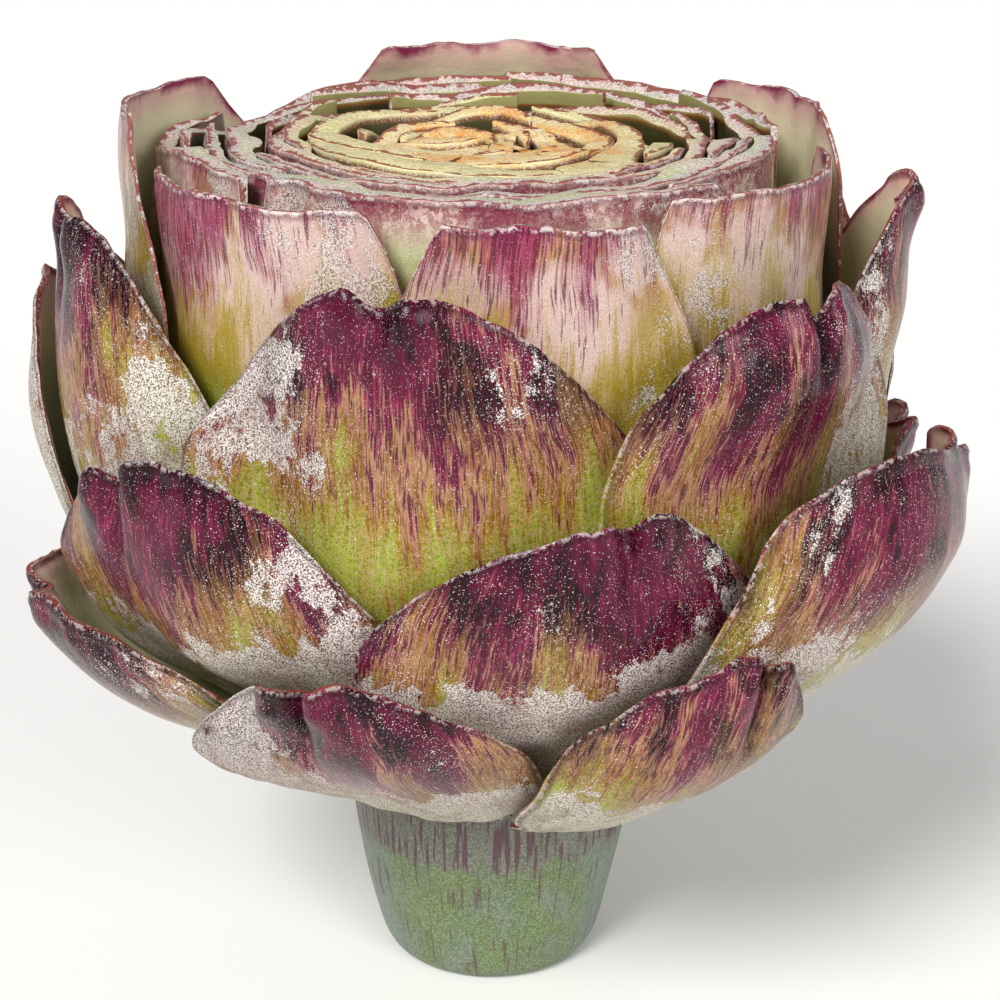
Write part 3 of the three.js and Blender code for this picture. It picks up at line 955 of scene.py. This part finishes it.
def finish_inner_face(colours):
    """The smooth inside of a bract: pale beige, browned along the edge, with painted shade that turns it
    darker olive further down and dark olive in the gaps.
    """
    material, graph, shader = new_material("bract_inside")
    leaf = graph.group(shared("leaf_place"), {})
    soft = graph.noise(leaf["Grain"], 0.22, 3.0, 0.6)
    down = graph.plus(leaf["edge"], graph.times(soft, 4.0))
    body = graph.ramp(
        graph.math("DIVIDE", down, 24.0),
        (
            (0.08, colours.wine),
            (0.13, colours.skin_pink),
            (0.22, colours.inside),
            (1.0, colours.pale_green),
        ),
    )
    # painted shade: the inner face turns darker olive further down into the head
    body = graph.mix(graph.step(leaf["below_tip"], 14.0, 42.0), body, colours.painted_inside_shade)
    # painted shade in the gaps between ring bracts: their inner faces go dark olive just below the cut
    gap = graph.ramp(
        graph.math("DIVIDE", leaf["below_tip"], 2.4),
        ((0.0, colours.painted_inside_shade), (0.15, colours.bronze), (0.35, colours.olive_speckle_and_gap_shade)),
    )
    body = graph.mix(graph.step(leaf["age"], 0.60, 0.64), body, gap)
    graph.feed(shader.inputs["Base Color"], body)
    shader.inputs["Roughness"].default_value = 0.42
    graph.feed(shader.inputs["Normal"], bumped(graph, graph.noise(leaf["Grain"], 1.0, 2.0), 0.35, 0.25))
    return material


def finish_rim(colours):
    """Edges and cuts: purple on natural margins, lilac to green on cuts, with a red-brown skin line."""
    material, graph, shader = new_material("bract_edge")
    leaf = graph.group(shared("leaf_place"), {})
    grain = leaf["Grain"]
    inward = graph.attribute("inward")
    broad = graph.noise(grain, 0.22, 2.0, 0.6)
    tone = graph.step(broad, 0.42, 0.58)
    natural = graph.mix(tone, colours.wine, colours.rose_brown)
    dry = graph.mix(tone, colours.cut_grey, colours.pale_lilac)
    fresh = graph.mix(tone, colours.pale_green, colours.cut_beige)
    cut = graph.mix(graph.step(inward, 0.6, 2.0), dry, fresh)
    warm = graph.mix(tone, colours.pale_yellow, colours.flesh)
    nearer = graph.plus(leaf["Radius"], graph.times(broad, 10.0))
    cut = graph.mix(graph.step(nearer, 31.0, 23.0), cut, warm)
    body = graph.mix(graph.step(leaf["age"], 0.455, 0.46), natural, cut)
    body = cut_crust(graph, leaf, body, inward, 0.6, colours)
    graph.feed(shader.inputs["Base Color"], body)
    shader.inputs["Roughness"].default_value = 0.5
    graph.feed(shader.inputs["Normal"], bumped(graph, graph.noise(grain, 1.6, 2.0, 0.8), 1.0, 0.45))
    return material


def cut_crust(graph, leaf, body, inward, white, colours):
    """Dry white grains on a cut, and the broken red-brown line of the skin at its outer edge."""
    grains = graph.noise(leaf["Grain"], 4.0, 1.0, 0.9)
    body = graph.mix(graph.times(graph.step(grains, 0.50, 0.40), 0.35), body, colours.bronze)
    body = graph.mix(graph.times(graph.step(grains, 0.50, 0.56), white), body, colours.frost)
    worn = graph.noise(leaf["Grain"], 0.7, 2.0, 0.75)
    skin = graph.plus(inward, graph.times(graph.math("SUBTRACT", worn, 0.5), 3.0))
    line = graph.times(graph.step(skin, 0.60, 0.30), 0.9)
    return graph.mix(line, body, colours.rust)


def young_flesh(graph, leaf, colours):
    """Warm orange in the middle, pale yellow and green further out."""
    broad = graph.noise(leaf["Grain"], 0.2, 2.0, 0.6)
    body = graph.ramp(
        broad,
        (
            (0.34, colours.peach),
            (0.46, colours.flesh),
            (0.56, colours.pale_peach),
            (0.70, colours.pale_yellow),
        ),
    )
    further = graph.step(graph.plus(leaf["Radius"], graph.times(broad, 8.0)), 14.0, 23.0)
    outer = graph.mix(graph.step(broad, 0.42, 0.58), colours.pale_green, colours.pale_yellow)
    return graph.mix(graph.times(further, 0.8), body, outer)


def finish_heart(colours):
    """Freshly cut young leaves, with dry grains and the line of their skin."""
    material, graph, shader = new_material("heart_cut")
    leaf = graph.group(shared("leaf_place"), {})
    body = young_flesh(graph, leaf, colours)
    body = cut_crust(graph, leaf, body, graph.attribute("inward"), 0.35, colours)
    graph.feed(shader.inputs["Base Color"], body)
    shader.inputs["Roughness"].default_value = 0.5
    graph.feed(shader.inputs["Normal"], bumped(graph, graph.noise(leaf["Grain"], 1.3, 2.0, 0.8), 0.9, 0.45))
    return material


def finish_heart_side(colours):
    """Sides of the young leaves: like the cut at the top, then painted shade, bronze and dark olive, where
    the gaps run down.
    """
    material, graph, shader = new_material("heart_side")
    leaf = graph.group(shared("leaf_place"), {})
    body = young_flesh(graph, leaf, colours)
    # painted shade: bronze, then dark olive, down the sides in the gaps between young leaves
    body = graph.mix(graph.step(leaf["below_tip"], 0.1, 0.7), body, colours.bronze)
    body = graph.mix(graph.step(leaf["below_tip"], 0.5, 1.4), body, colours.olive_speckle_and_gap_shade)
    grains = graph.step(graph.noise(leaf["Grain"], 4.0, 1.0, 0.9), 0.52, 0.58)
    grains = graph.times(grains, graph.step(leaf["below_tip"], 1.2, 0.3))
    body = graph.mix(graph.times(grains, 0.6), body, colours.frost)
    graph.feed(shader.inputs["Base Color"], body)
    shader.inputs["Roughness"].default_value = 0.5
    return material


def finish_stem(colours):
    """Grey-green stalk: olive middle, purple streaks from the top, fine speckle, a painted sheen on its
    left and right flanks and a painted shadow of the bracts at its top.
    """
    material, graph, shader = new_material("stem_skin")
    coordinates = graph.add("ShaderNodeTexCoord").outputs["Object"]
    grain = graph.scaled(coordinates, (1 / MM, 1 / MM, 1 / MM))
    parts = graph.add("ShaderNodeSeparateXYZ", {0: grain}).outputs
    turn = graph.math("ARCTAN2", parts["X"], graph.times(parts["Y"], -1.0))
    angle = graph.times(turn, 14.5)
    round_parts = {"X": angle, "Y": parts["Z"], "Z": 3.0}
    round_place = graph.add("ShaderNodeCombineXYZ", round_parts).outputs[0]
    broad = graph.noise(graph.scaled(round_place, (0.11, 0.07, 1.0)), 1.0, 2.0, 0.6)
    body = graph.ramp(
        broad,
        (
            (0.34, colours.stem_grey),
            (0.46, colours.stem_green),
            (0.56, colours.stem_olive),
            (0.7, colours.stem_grey),
        ),
    )
    ragged = graph.noise(graph.scaled(round_place, (0.35, 0.3, 1.0)), 1.0, 2.0)
    height_z = graph.plus(parts["Z"], graph.times(graph.math("SUBTRACT", ragged, 0.5), 7.0))
    top = graph.step(height_z, 15.6, 17.4)
    # painted sheen: the left and right flanks, seen edge-on, turn lighter blue-grey
    flank = graph.step(graph.math("ABSOLUTE", graph.math("SINE", turn)), 0.55, 0.95)
    body = graph.mix(graph.times(flank, 0.7), body, colours.stem_flank_sheen)
    # painted shadow of the bracts: a darker band at the top of the stem; the stronger streaks there are its
    # own colour
    body = graph.mix(graph.times(top, 0.8), body, colours.stem_top_shadow)
    speckle = graph.step(graph.noise(grain, 4.2, 1.0, 0.9), 0.50, 0.58)
    body = graph.mix(graph.times(speckle, 0.45), body, colours.stem_pale)
    dark = graph.step(graph.noise(grain, 2.4, 2.0, 0.85), 0.52, 0.60)
    body = graph.mix(graph.times(dark, 0.5), body, colours.stem_dark)
    amount = graph.blend_values(top, 0.36, 0.56)
    streaks = graph.group(
        shared("dashes"), {"Place": round_place, "Width": 0.50, "Length": 8.0, "Amount": amount}
    )["Mask"]
    strength = graph.blend_values(top, 0.65, 0.8)
    body = graph.mix(graph.times(streaks, strength), body, colours.stem_streak)
    graph.feed(shader.inputs["Base Color"], body)
    shader.inputs["Roughness"].default_value = 0.5
    graph.feed(shader.inputs["Normal"], bumped(graph, graph.noise(grain, 2.2, 2.0, 0.7), 0.6, 0.25))
    return material


def finish_floor(colour):
    material, graph, shader = new_material("floor")
    coordinates = graph.add("ShaderNodeTexCoord").outputs["Object"]
    tone = graph.noise(coordinates, 3.0, 2.0)
    shade = graph.mix(graph.times(tone, 0.05), colour, (0.7, 0.7, 0.7, 1.0))
    graph.feed(shader.inputs["Base Color"], shade)
    shader.inputs["Roughness"].default_value = 0.85
    return material


# Heart leaves, laid round the middle from the inside outwards, in plan

HEART_STEPS = 240


def round_max(values, reach):
    return np.max([np.roll(values, k) for k in range(-reach, reach + 1)], axis=0)


def round_soften(values, passes):
    for _ in range(passes):
        values = (np.roll(values, 1) + 2 * values + np.roll(values, -1)) / 4
    return values


def heart_plan(settings):
    """Inner and outer outline of each young leaf, in order from the middle outwards."""
    drawn = random.Random(11)
    count = settings.heart_leaves
    azimuths = np.arange(HEART_STEPS) * (360.0 / HEART_STEPS)
    outline = np.full(HEART_STEPS, 0.9)
    plan = []
    for index in reversed(range(count)):
        depth = index / (count - 1)
        middle = FRONT_AZIMUTH - GOLDEN_ANGLE * (BRACT_COUNT + index - FRONT_BRACT) + drawn.uniform(-14, 14)
        half = mix(50.0, 88.0, depth) * drawn.uniform(0.85, 1.15)
        x = wrap(azimuths - middle) / half
        rest = round_soften(round_max(outline, 2), 14)
        rest = np.maximum(rest, outline) + settings.heart_gap
        bow = drawn.uniform(0.2, 1.0) * mix(0.15, settings.heart_bow, behind(middle))
        inner = rest + bow * np.clip(1 - x * x, 0, 1) ** 1.5
        thick = mix(2.6, 2.4, depth) * drawn.uniform(0.75, 1.3)
        thick = thick * (1 - 0.75 * np.clip(np.abs(x), 0, 1) ** 2.5)
        outer = inner + np.maximum(thick, 0.3)
        outline = np.where(np.abs(x) <= 1.0, np.maximum(outline, outer), outline)
        plan.append((index, middle, half, azimuths, inner, outer))
    return plan, (HEART_RADIUS + 0.7) / round_soften(outline, 8)


def heart_top(radius, azimuth, settings):
    """The cut rises towards the back, like that of the bracts."""
    return HEART_TOP_Z + settings.heart_rise - settings.cut_tilt * radius * np.cos(azimuth) / 40.0


def heart_leaf(index, middle, half, azimuths, inner, outer, scale, finishes, settings):
    columns, rows = 48, 5
    piece, flat_x, y = add_sheet(f"heart_leaf_{index + 1:02d}", columns, rows)
    azimuth = middle + flat_x * half
    outside = np.interp(azimuth % 360.0, azimuths, outer * scale, period=360.0)
    inside = np.interp(azimuth % 360.0, azimuths, inner * scale, period=360.0)
    crinkle = 0.14 * wavy(azimuth * outside / 150.0, y * 0, index + 60)
    outside = np.minimum(outside + crinkle, HEART_RADIUS + 0.7)
    a = np.radians(azimuth)
    uneven = 1.3 * wavy(flat_x * 0.9, flat_x * 0 + index * 1.7, 2.0)
    uneven = uneven + 0.14 * wavy(azimuth / 9.0, y * 0, index + 30)
    uneven = uneven - 0.5 * (1.0 - behind(azimuth))
    drawn = random.Random(index + 400)
    dip = drawn.choice(HEART_DIPS) * bell(flat_x - drawn.uniform(-0.4, 0.4), 0.34) * behind(azimuth)
    top = heart_top(outside, a, settings) + uneven - dip
    z = mix(HEART_PLUG_Z - 0.5, top, y)
    set_points(piece, np.stack([outside * np.sin(a), -outside * np.cos(a), z], axis=-1))
    half_mm = math.radians(half) * outside.mean()
    set_attributes(
        piece,
        across=flat_x * half_mm,
        along=z,
        below_tip=top - z,
        edge=(1 - np.abs(flat_x)) * half_mm,
        seed=index + 100.0,
        age=1 - index / (settings.heart_leaves - 1),
    )
    droop = settings.cut_droop * mix(-0.3, 0.8, behind(azimuth))
    thicken(piece, finishes, np.maximum(outside - inside, 0.3), 0.16, droop)
    return piece


# Settings that a user would change


def size_property(name, description, default):
    return FloatProperty(name=name, description=description + ", mm", default=default)


def count_property(name, description, default, least=8):
    return IntProperty(name=name, description=description, default=default, min=least)


def colour_property(name, description, code):
    return FloatVectorProperty(
        name=name, description=description, subtype="COLOR", size=4, min=0.0, max=1.0, default=srgb(code)
    )


class ArtichokeShape(bpy.types.PropertyGroup):
    """Fineness and relief of the leaves, in millimetres."""

    outer_columns: count_property("Outer columns", "Faces across an outer bract", 64)
    outer_rows: count_property("Outer rows", "Faces along an outer bract", 70)
    inner_columns: count_property("Inner columns", "Faces across a cut bract", 40)
    inner_rows: count_property("Inner rows", "Faces along a cut bract", 36)
    lip_height: size_property("Lip", "Height of the rolled lip at a margin", 0.35)
    rib_height: size_property("Ribs", "Height of the soft ribs along a bract", 0.12)
    tip_wave: size_property("Tip wave", "Unevenness of a natural tip", 0.8)
    cut_wave: size_property("Cut wave", "Unevenness of a cut edge", 0.6)
    heart_leaves: count_property("Heart leaves", "Young leaves at the middle", 13, 6)
    heart_gap: size_property("Heart gap", "Clearance between young leaves", 0.06)
    heart_bow: size_property("Heart bow", "Widest gap between young leaves", 4.6)
    heart_rise: size_property("Heart rise", "Height of the heart over its solid", 0.1)
    cut_tilt: size_property("Cut tilt", "Rise of the cut from middle to back", 0.6)
    cut_droop: size_property("Cut droop", "Fall of a cut edge inwards", 0.8)
    stem_ridge: size_property("Stem ridges", "Height of the ridges on the stem", 0.22)


class ArtichokeColours(bpy.types.PropertyGroup):
    """Colours of the leaves, cuts and stem."""

    night_plum: colour_property("Night plum", "Darkest tips and blotches", "#1d030c")
    burgundy: colour_property("Burgundy", "Uppermost part of an outer bract", "#560a2b")
    wine: colour_property("Wine", "Below the burgundy", "#7d1c42")
    streak: colour_property("Streak", "Fine dashes along a bract", "#4f0c29")
    magenta: colour_property("Magenta", "Blush below a cut edge", "#932c56")
    rose_brown: colour_property("Rose brown", "Middle of an outer bract", "#8d4450")
    straw: colour_property("Straw", "Pale dashes between the purple ones", "#b48c6c")
    tan: colour_property("Tan", "Pale ground between the dashes", "#a87d58")
    bronze: colour_property("Bronze", "Warm patches", "#7c4a18")
    gold: colour_property("Gold", "Lower part of an outer bract", "#9c8426")
    leaf_green: colour_property("Leaf green", "Low on a bract", "#8f8f34")
    lime: colour_property("Lime", "Foot of an outer bract", "#a2ac3d")
    pale_green: colour_property("Pale green", "Young bracts near the cut", "#c5cd98")
    pale_lilac: colour_property("Pale lilac", "Faded part of a cut bract", "#d3b8b2")
    cut_gold: colour_property("Cut gold", "Warm ground of a cut bract", "#b79c66")
    cut_grey: colour_property("Cut grey", "Dry cut edge", "#bfb4b3")
    cut_beige: colour_property("Cut beige", "Fresh cut edge", "#d3cbab")
    frost: colour_property("Frost", "Waxy bloom in the light", "#e2dcd6")
    # Darker bloom: painted shade of its grains; also the pale line along an outer bract's margin.
    frost_shade: colour_property("Frost shade", "Waxy bloom where it is thin", "#b5a9a2")
    bloom_shade: colour_property("Bloom shade", "Ground of a bloomed patch", "#77665f")
    rust: colour_property("Rust", "Browned edges of cuts", "#853420")
    inside: colour_property("Inside", "Inner face of a bract", "#d2c7a6")
    # Painted shade: the inner face further down in the head and at the top of the gaps.
    painted_inside_shade: colour_property("Inside deep", "Inner face further down", "#96915a")
    flesh: colour_property("Flesh", "Cut young leaves", "#edc36d")
    peach: colour_property("Peach", "Warmest part of the heart", "#eaa03c")
    pale_peach: colour_property("Pale peach", "Moist cut of the heart", "#ecd09a")
    pale_yellow: colour_property("Pale yellow", "Palest cut of the heart", "#e2da96")
    skin_pink: colour_property("Skin pink", "Dry skin of the heart", "#cfa79c")
    # Dark speckle on the outer bracts, and painted shade down the gaps.
    olive_speckle_and_gap_shade: colour_property("Deep olive", "Depth of the gaps", "#3d3a18")
    stem_grey: colour_property("Stem grey", "Grey-green of the stem", "#70796e")
    stem_green: colour_property("Stem green", "Green of the stem", "#5e7047")
    stem_olive: colour_property("Stem olive", "Olive middle of the stem", "#617439")
    # Painted shadow of the bracts on the top of the stem.
    stem_top_shadow: colour_property("Stem top", "Flared top of the stem", "#68645c")
    stem_streak: colour_property("Stem streak", "Purple streaks on the stem", "#52243a")
    # Painted sheen on the stem's left and right flanks.
    stem_flank_sheen: colour_property("Stem flank", "Blue-grey flanks of the stem", "#74807a")
    stem_pale: colour_property("Stem pale", "Pale speckle on the stem", "#9ba192")
    stem_dark: colour_property("Stem dark", "Dark speckle on the stem", "#34462d")


class ArtichokeStage(bpy.types.PropertyGroup):
    """Floor, lights and camera."""

    floor_colour: colour_property("Floor", "Plain pale floor", "#f7f6f4")
    floor_size: FloatProperty(
        name="Floor size", description="Side of the floor", default=6.0, unit="LENGTH"
    )
    key_strength: FloatProperty(name="Key light", description="Strength of the key light", default=2.75)
    fill_strength: FloatProperty(name="Fill light", description="Strength of the fill light", default=1.3)
    sky: FloatProperty(name="Sky", description="Strength of the light all round", default=0.4)
    camera_back: FloatProperty(
        name="Distance", description="Camera's place in front", default=0.230, unit="LENGTH"
    )
    camera_up: FloatProperty(
        name="Height", description="Camera's height", default=0.140, unit="LENGTH"
    )
    camera_down: FloatProperty(name="Down", description="Camera's tilt below level, degrees", default=20.0)
    focal: size_property("Focal length", "Focal length on a 36 mm frame", 76.32)


class ARTICHOKE_OT_outer_bracts(bpy.types.Operator):
    """Add the outer bracts that keep their natural tips"""

    bl_idname = "artichoke.outer_bracts"
    bl_label = "Outer bracts"

    def execute(self, context):
        shape, colours = context.scene.artichoke_shape, context.scene.artichoke_colours
        finishes = (finish_outer_face(colours), finish_inner_face(colours), finish_rim(colours))
        for bract, below in stack_bracts():
            if bract.index >= FIRST_CUT_BRACT:
                continue
            piece, node = make_bract(bract, below, shape.outer_columns, shape.outer_rows, finishes, shape)
            hand_over(piece, node)
        return {"FINISHED"}


class ARTICHOKE_OT_cut_bracts(bpy.types.Operator):
    """Add the inner bracts that end at the flat cut"""

    bl_idname = "artichoke.cut_bracts"
    bl_label = "Cut bracts"

    def execute(self, context):
        shape, colours = context.scene.artichoke_shape, context.scene.artichoke_colours
        finishes = (finish_cut_face(colours), finish_inner_face(colours), finish_rim(colours))
        for bract, below in stack_bracts():
            if bract.index < FIRST_CUT_BRACT:
                continue
            piece, node = make_bract(bract, below, shape.inner_columns, shape.inner_rows, finishes, shape)
            hand_over(piece, node)
        return {"FINISHED"}


class ARTICHOKE_OT_heart(bpy.types.Operator):
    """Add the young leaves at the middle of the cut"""

    bl_idname = "artichoke.heart"
    bl_label = "Heart"

    def execute(self, context):
        shape, colours = context.scene.artichoke_shape, context.scene.artichoke_colours
        side, cut = finish_heart_side(colours), finish_heart(colours)
        plan, scale = heart_plan(shape)
        leaves = [heart_leaf(*leaf, scale, (side, side, cut), shape) for leaf in plan]
        plug = heart_plug(side, cut, shape)
        begin_piece()
        for piece in (*leaves, plug):
            piece.select_set(True)
        context.view_layer.objects.active = plug
        bpy.ops.object.join()
        plug.name = "heart_leaves"
        plug.data.name = "heart_leaves"
        hand_over(plug, "heart")
        return {"FINISHED"}


def extrude_profile(profile):
    """Extrudes the selected face up a profile of radius and height, in millimetres."""
    for (radius, z), (next_radius, next_z) in zip(profile, profile[1:]):
        bpy.ops.mesh.extrude_region_move(TRANSFORM_OT_translate={"value": (0, 0, (next_z - z) * MM)})
        ratio = next_radius / radius
        bpy.ops.transform.resize(value=(ratio, ratio, 1.0), center_override=(0, 0, next_z * MM))


def turned_body(name, profile, sides):
    """A solid of revolution: a filled circle extruded up its profile."""
    begin_piece()
    radius, z = profile[0]
    bpy.ops.mesh.primitive_circle_add(
        vertices=sides, radius=radius * MM, fill_type="NGON", location=(0, 0, z * MM)
    )
    piece = bpy.context.object
    bpy.ops.object.transform_apply(location=True, rotation=False, scale=False)
    piece.name = name
    piece.data.name = name
    bpy.ops.object.mode_set(mode="EDIT")
    bpy.ops.mesh.select_all(action="SELECT")
    extrude_profile(profile)
    bpy.ops.mesh.select_all(action="SELECT")
    bpy.ops.mesh.normals_make_consistent(inside=False)
    bpy.ops.object.mode_set(mode="OBJECT")
    return piece


def heart_plug(side, cut, settings):
    """The solid foot that the young leaves stand out of, with the bud at its middle."""
    profile = (
        (HEART_RADIUS - 2.0, HEART_FLOOR_Z),
        (HEART_RADIUS, HEART_FLOOR_Z + 4.0),
        (HEART_RADIUS, HEART_PLUG_Z),
        (3.0, HEART_PLUG_Z + 0.8),
        (0.85, HEART_PLUG_Z + 3.0),
        (0.8, HEART_TOP_Z + settings.heart_rise - 1.5),
        (0.45, HEART_TOP_Z + settings.heart_rise - 1.0),
    )
    piece = turned_body("heart_plug", profile, 64)
    set_attributes(piece, below_tip=8.0, age=1.0, edge=5.0, seed=99.0, inward=1.0, across=0.0, along=0.0)
    for finish in (side, side, cut):
        piece.data.materials.append(finish)
    for face in piece.data.polygons:
        high = face.center.z > (HEART_TOP_Z - 1.0) * MM
        face.material_index = 2 if high else 0
    bpy.ops.object.shade_smooth_by_angle(angle=math.radians(40))
    return piece


# Stalk: radius and height, in millimetres
STEM_PROFILE = (
    (11.5, 0.0),
    (12.4, 0.5),
    (13.1, 1.6),
    (13.6, 3.0),
    (14.0, 5.0),
    (14.6, 8.0),
    (15.3, 12.0),
    (16.1, 16.0),
    (16.5, 20.0),
)


class ARTICHOKE_OT_stem(bpy.types.Operator):
    """Add the stem and the receptacle that carries the bracts"""

    bl_idname = "artichoke.stem"
    bl_label = "Stem"

    def execute(self, context):
        shape, colours = context.scene.artichoke_shape, context.scene.artichoke_colours
        alongs = np.linspace(LOWEST_ROOT, HIGHEST_ROOT + 2.0, 9)
        receptacle = place(0.0, alongs, curve(CORE, alongs) - 0.3)
        profile = list(STEM_PROFILE) + [(-y, z) for _, y, z in receptacle]
        profile += [(HEART_RADIUS - 2.0, HEART_FLOOR_Z - 0.3)]
        piece = turned_body("stem_stalk", profile, 128)
        apply_modifier(piece, "SUBSURF", levels=1, render_levels=1)
        shape_stem_surface(piece, shape.stem_ridge)
        bpy.ops.object.shade_smooth_by_angle(angle=math.radians(40))
        piece.data.materials.append(finish_stem(colours))
        hand_over(piece, "stem")
        return {"FINISHED"}


def shape_stem_surface(piece, ridge):
    """Soft ridges round the stalk, none on the flat cut face."""
    for vertex in piece.data.vertices:
        x, y, z = vertex.co / MM
        radius = math.hypot(x, y)
        if radius < 8.0 or z > 24.0:
            continue
        rise = min(1.0, z / 3.0)
        angle = math.atan2(x, -y)
        folds = noise.noise(Vector((math.cos(angle) * 3.2, math.sin(angle) * 3.2, z / 40.0)))
        dents = noise.noise(Vector((math.cos(angle) * 1.2, math.sin(angle) * 1.2, z / 12.0 + 9.0)))
        grown = 1.0 + rise * (ridge * folds + 0.35 * dents) / radius
        vertex.co.x *= grown
        vertex.co.y *= grown


def add_soft_sun(name, turn, height, angle, strength):
    """A broad distant light from a turn about the piece and a height, in degrees."""
    begin_piece()
    rotation = (math.radians(90.0 - height), 0.0, math.radians(turn))
    bpy.ops.object.light_add(type="SUN", location=(0.0, 0.0, 1.0), rotation=rotation)
    light = bpy.context.object
    light.name = name
    light.data.angle = math.radians(angle)
    light.data.energy = strength


# Turn, height and width of each light, in degrees
KEY_LIGHT = (-32.0, 42.0, 22.0)
FILL_LIGHT = (38.0, 20.0, 30.0)


class ARTICHOKE_OT_stage(bpy.types.Operator):
    """Add the pale floor, the soft studio light and the camera"""

    bl_idname = "artichoke.stage"
    bl_label = "Stage"

    def execute(self, context):
        stage = context.scene.artichoke_stage
        begin_piece()
        bpy.ops.mesh.primitive_plane_add(size=stage.floor_size)
        floor = bpy.context.object
        floor.name = "floor"
        floor.data.materials.append(finish_floor(stage.floor_colour))
        add_soft_sun("key_light", *KEY_LIGHT, stage.key_strength)
        add_soft_sun("fill_light", *FILL_LIGHT, stage.fill_strength)
        world = context.scene.world or bpy.data.worlds.new("studio")
        context.scene.world = world
        world.use_nodes = True
        background = world.node_tree.nodes["Background"]
        background.inputs["Color"].default_value = (1.0, 1.0, 1.0, 1.0)
        background.inputs["Strength"].default_value = stage.sky
        add_camera(context, stage)
        context.scene.view_settings.view_transform = "Standard"
        return {"FINISHED"}


def add_camera(context, stage):
    begin_piece()
    tilt = math.radians(90.0 - stage.camera_down)
    place_of = (0.0, -stage.camera_back, stage.camera_up)
    bpy.ops.object.camera_add(location=place_of, rotation=(tilt, 0.0, 0.0))
    camera = bpy.context.object
    camera.data.lens = stage.focal
    camera.data.sensor_width = 36.0
    camera.data.shift_x = 0.01
    camera.data.clip_start = 0.01
    context.scene.camera = camera


OPERATORS = (
    ARTICHOKE_OT_stage,
    ARTICHOKE_OT_stem,
    ARTICHOKE_OT_outer_bracts,
    ARTICHOKE_OT_cut_bracts,
    ARTICHOKE_OT_heart,
)
SETTINGS = {
    "artichoke_shape": ArtichokeShape,
    "artichoke_colours": ArtichokeColours,
    "artichoke_stage": ArtichokeStage,
}


class ARTICHOKE_PT_panel(bpy.types.Panel):
    """Lists the pieces and their settings"""

    bl_label = "Globe artichoke"
    bl_idname = "ARTICHOKE_PT_panel"
    bl_space_type = "VIEW_3D"
    bl_region_type = "UI"
    bl_category = "Artichoke"

    def draw(self, context):
        for operator in OPERATORS:
            self.layout.operator(operator.bl_idname)
        for name, group in SETTINGS.items():
            box = self.layout.box()
            for key in group.__annotations__:
                box.prop(getattr(context.scene, name), key)


def register():
    for group in SETTINGS.values():
        bpy.utils.register_class(group)
    for operator in OPERATORS:
        bpy.utils.register_class(operator)
    bpy.utils.register_class(ARTICHOKE_PT_panel)
    for name, group in SETTINGS.items():
        setattr(bpy.types.Scene, name, PointerProperty(type=group))


def unregister():
    for name in SETTINGS:
        delattr(bpy.types.Scene, name)
    bpy.utils.unregister_class(ARTICHOKE_PT_panel)
    for operator in reversed(OPERATORS):
        bpy.utils.unregister_class(operator)
    for group in reversed(SETTINGS.values()):
        bpy.utils.unregister_class(group)


def main():
    register()
    bpy.ops.artichoke.stage()
    bpy.ops.artichoke.stem()
    bpy.ops.artichoke.outer_bracts()
    bpy.ops.artichoke.cut_bracts()
    bpy.ops.artichoke.heart()


if __name__ == "__main__":
    main()
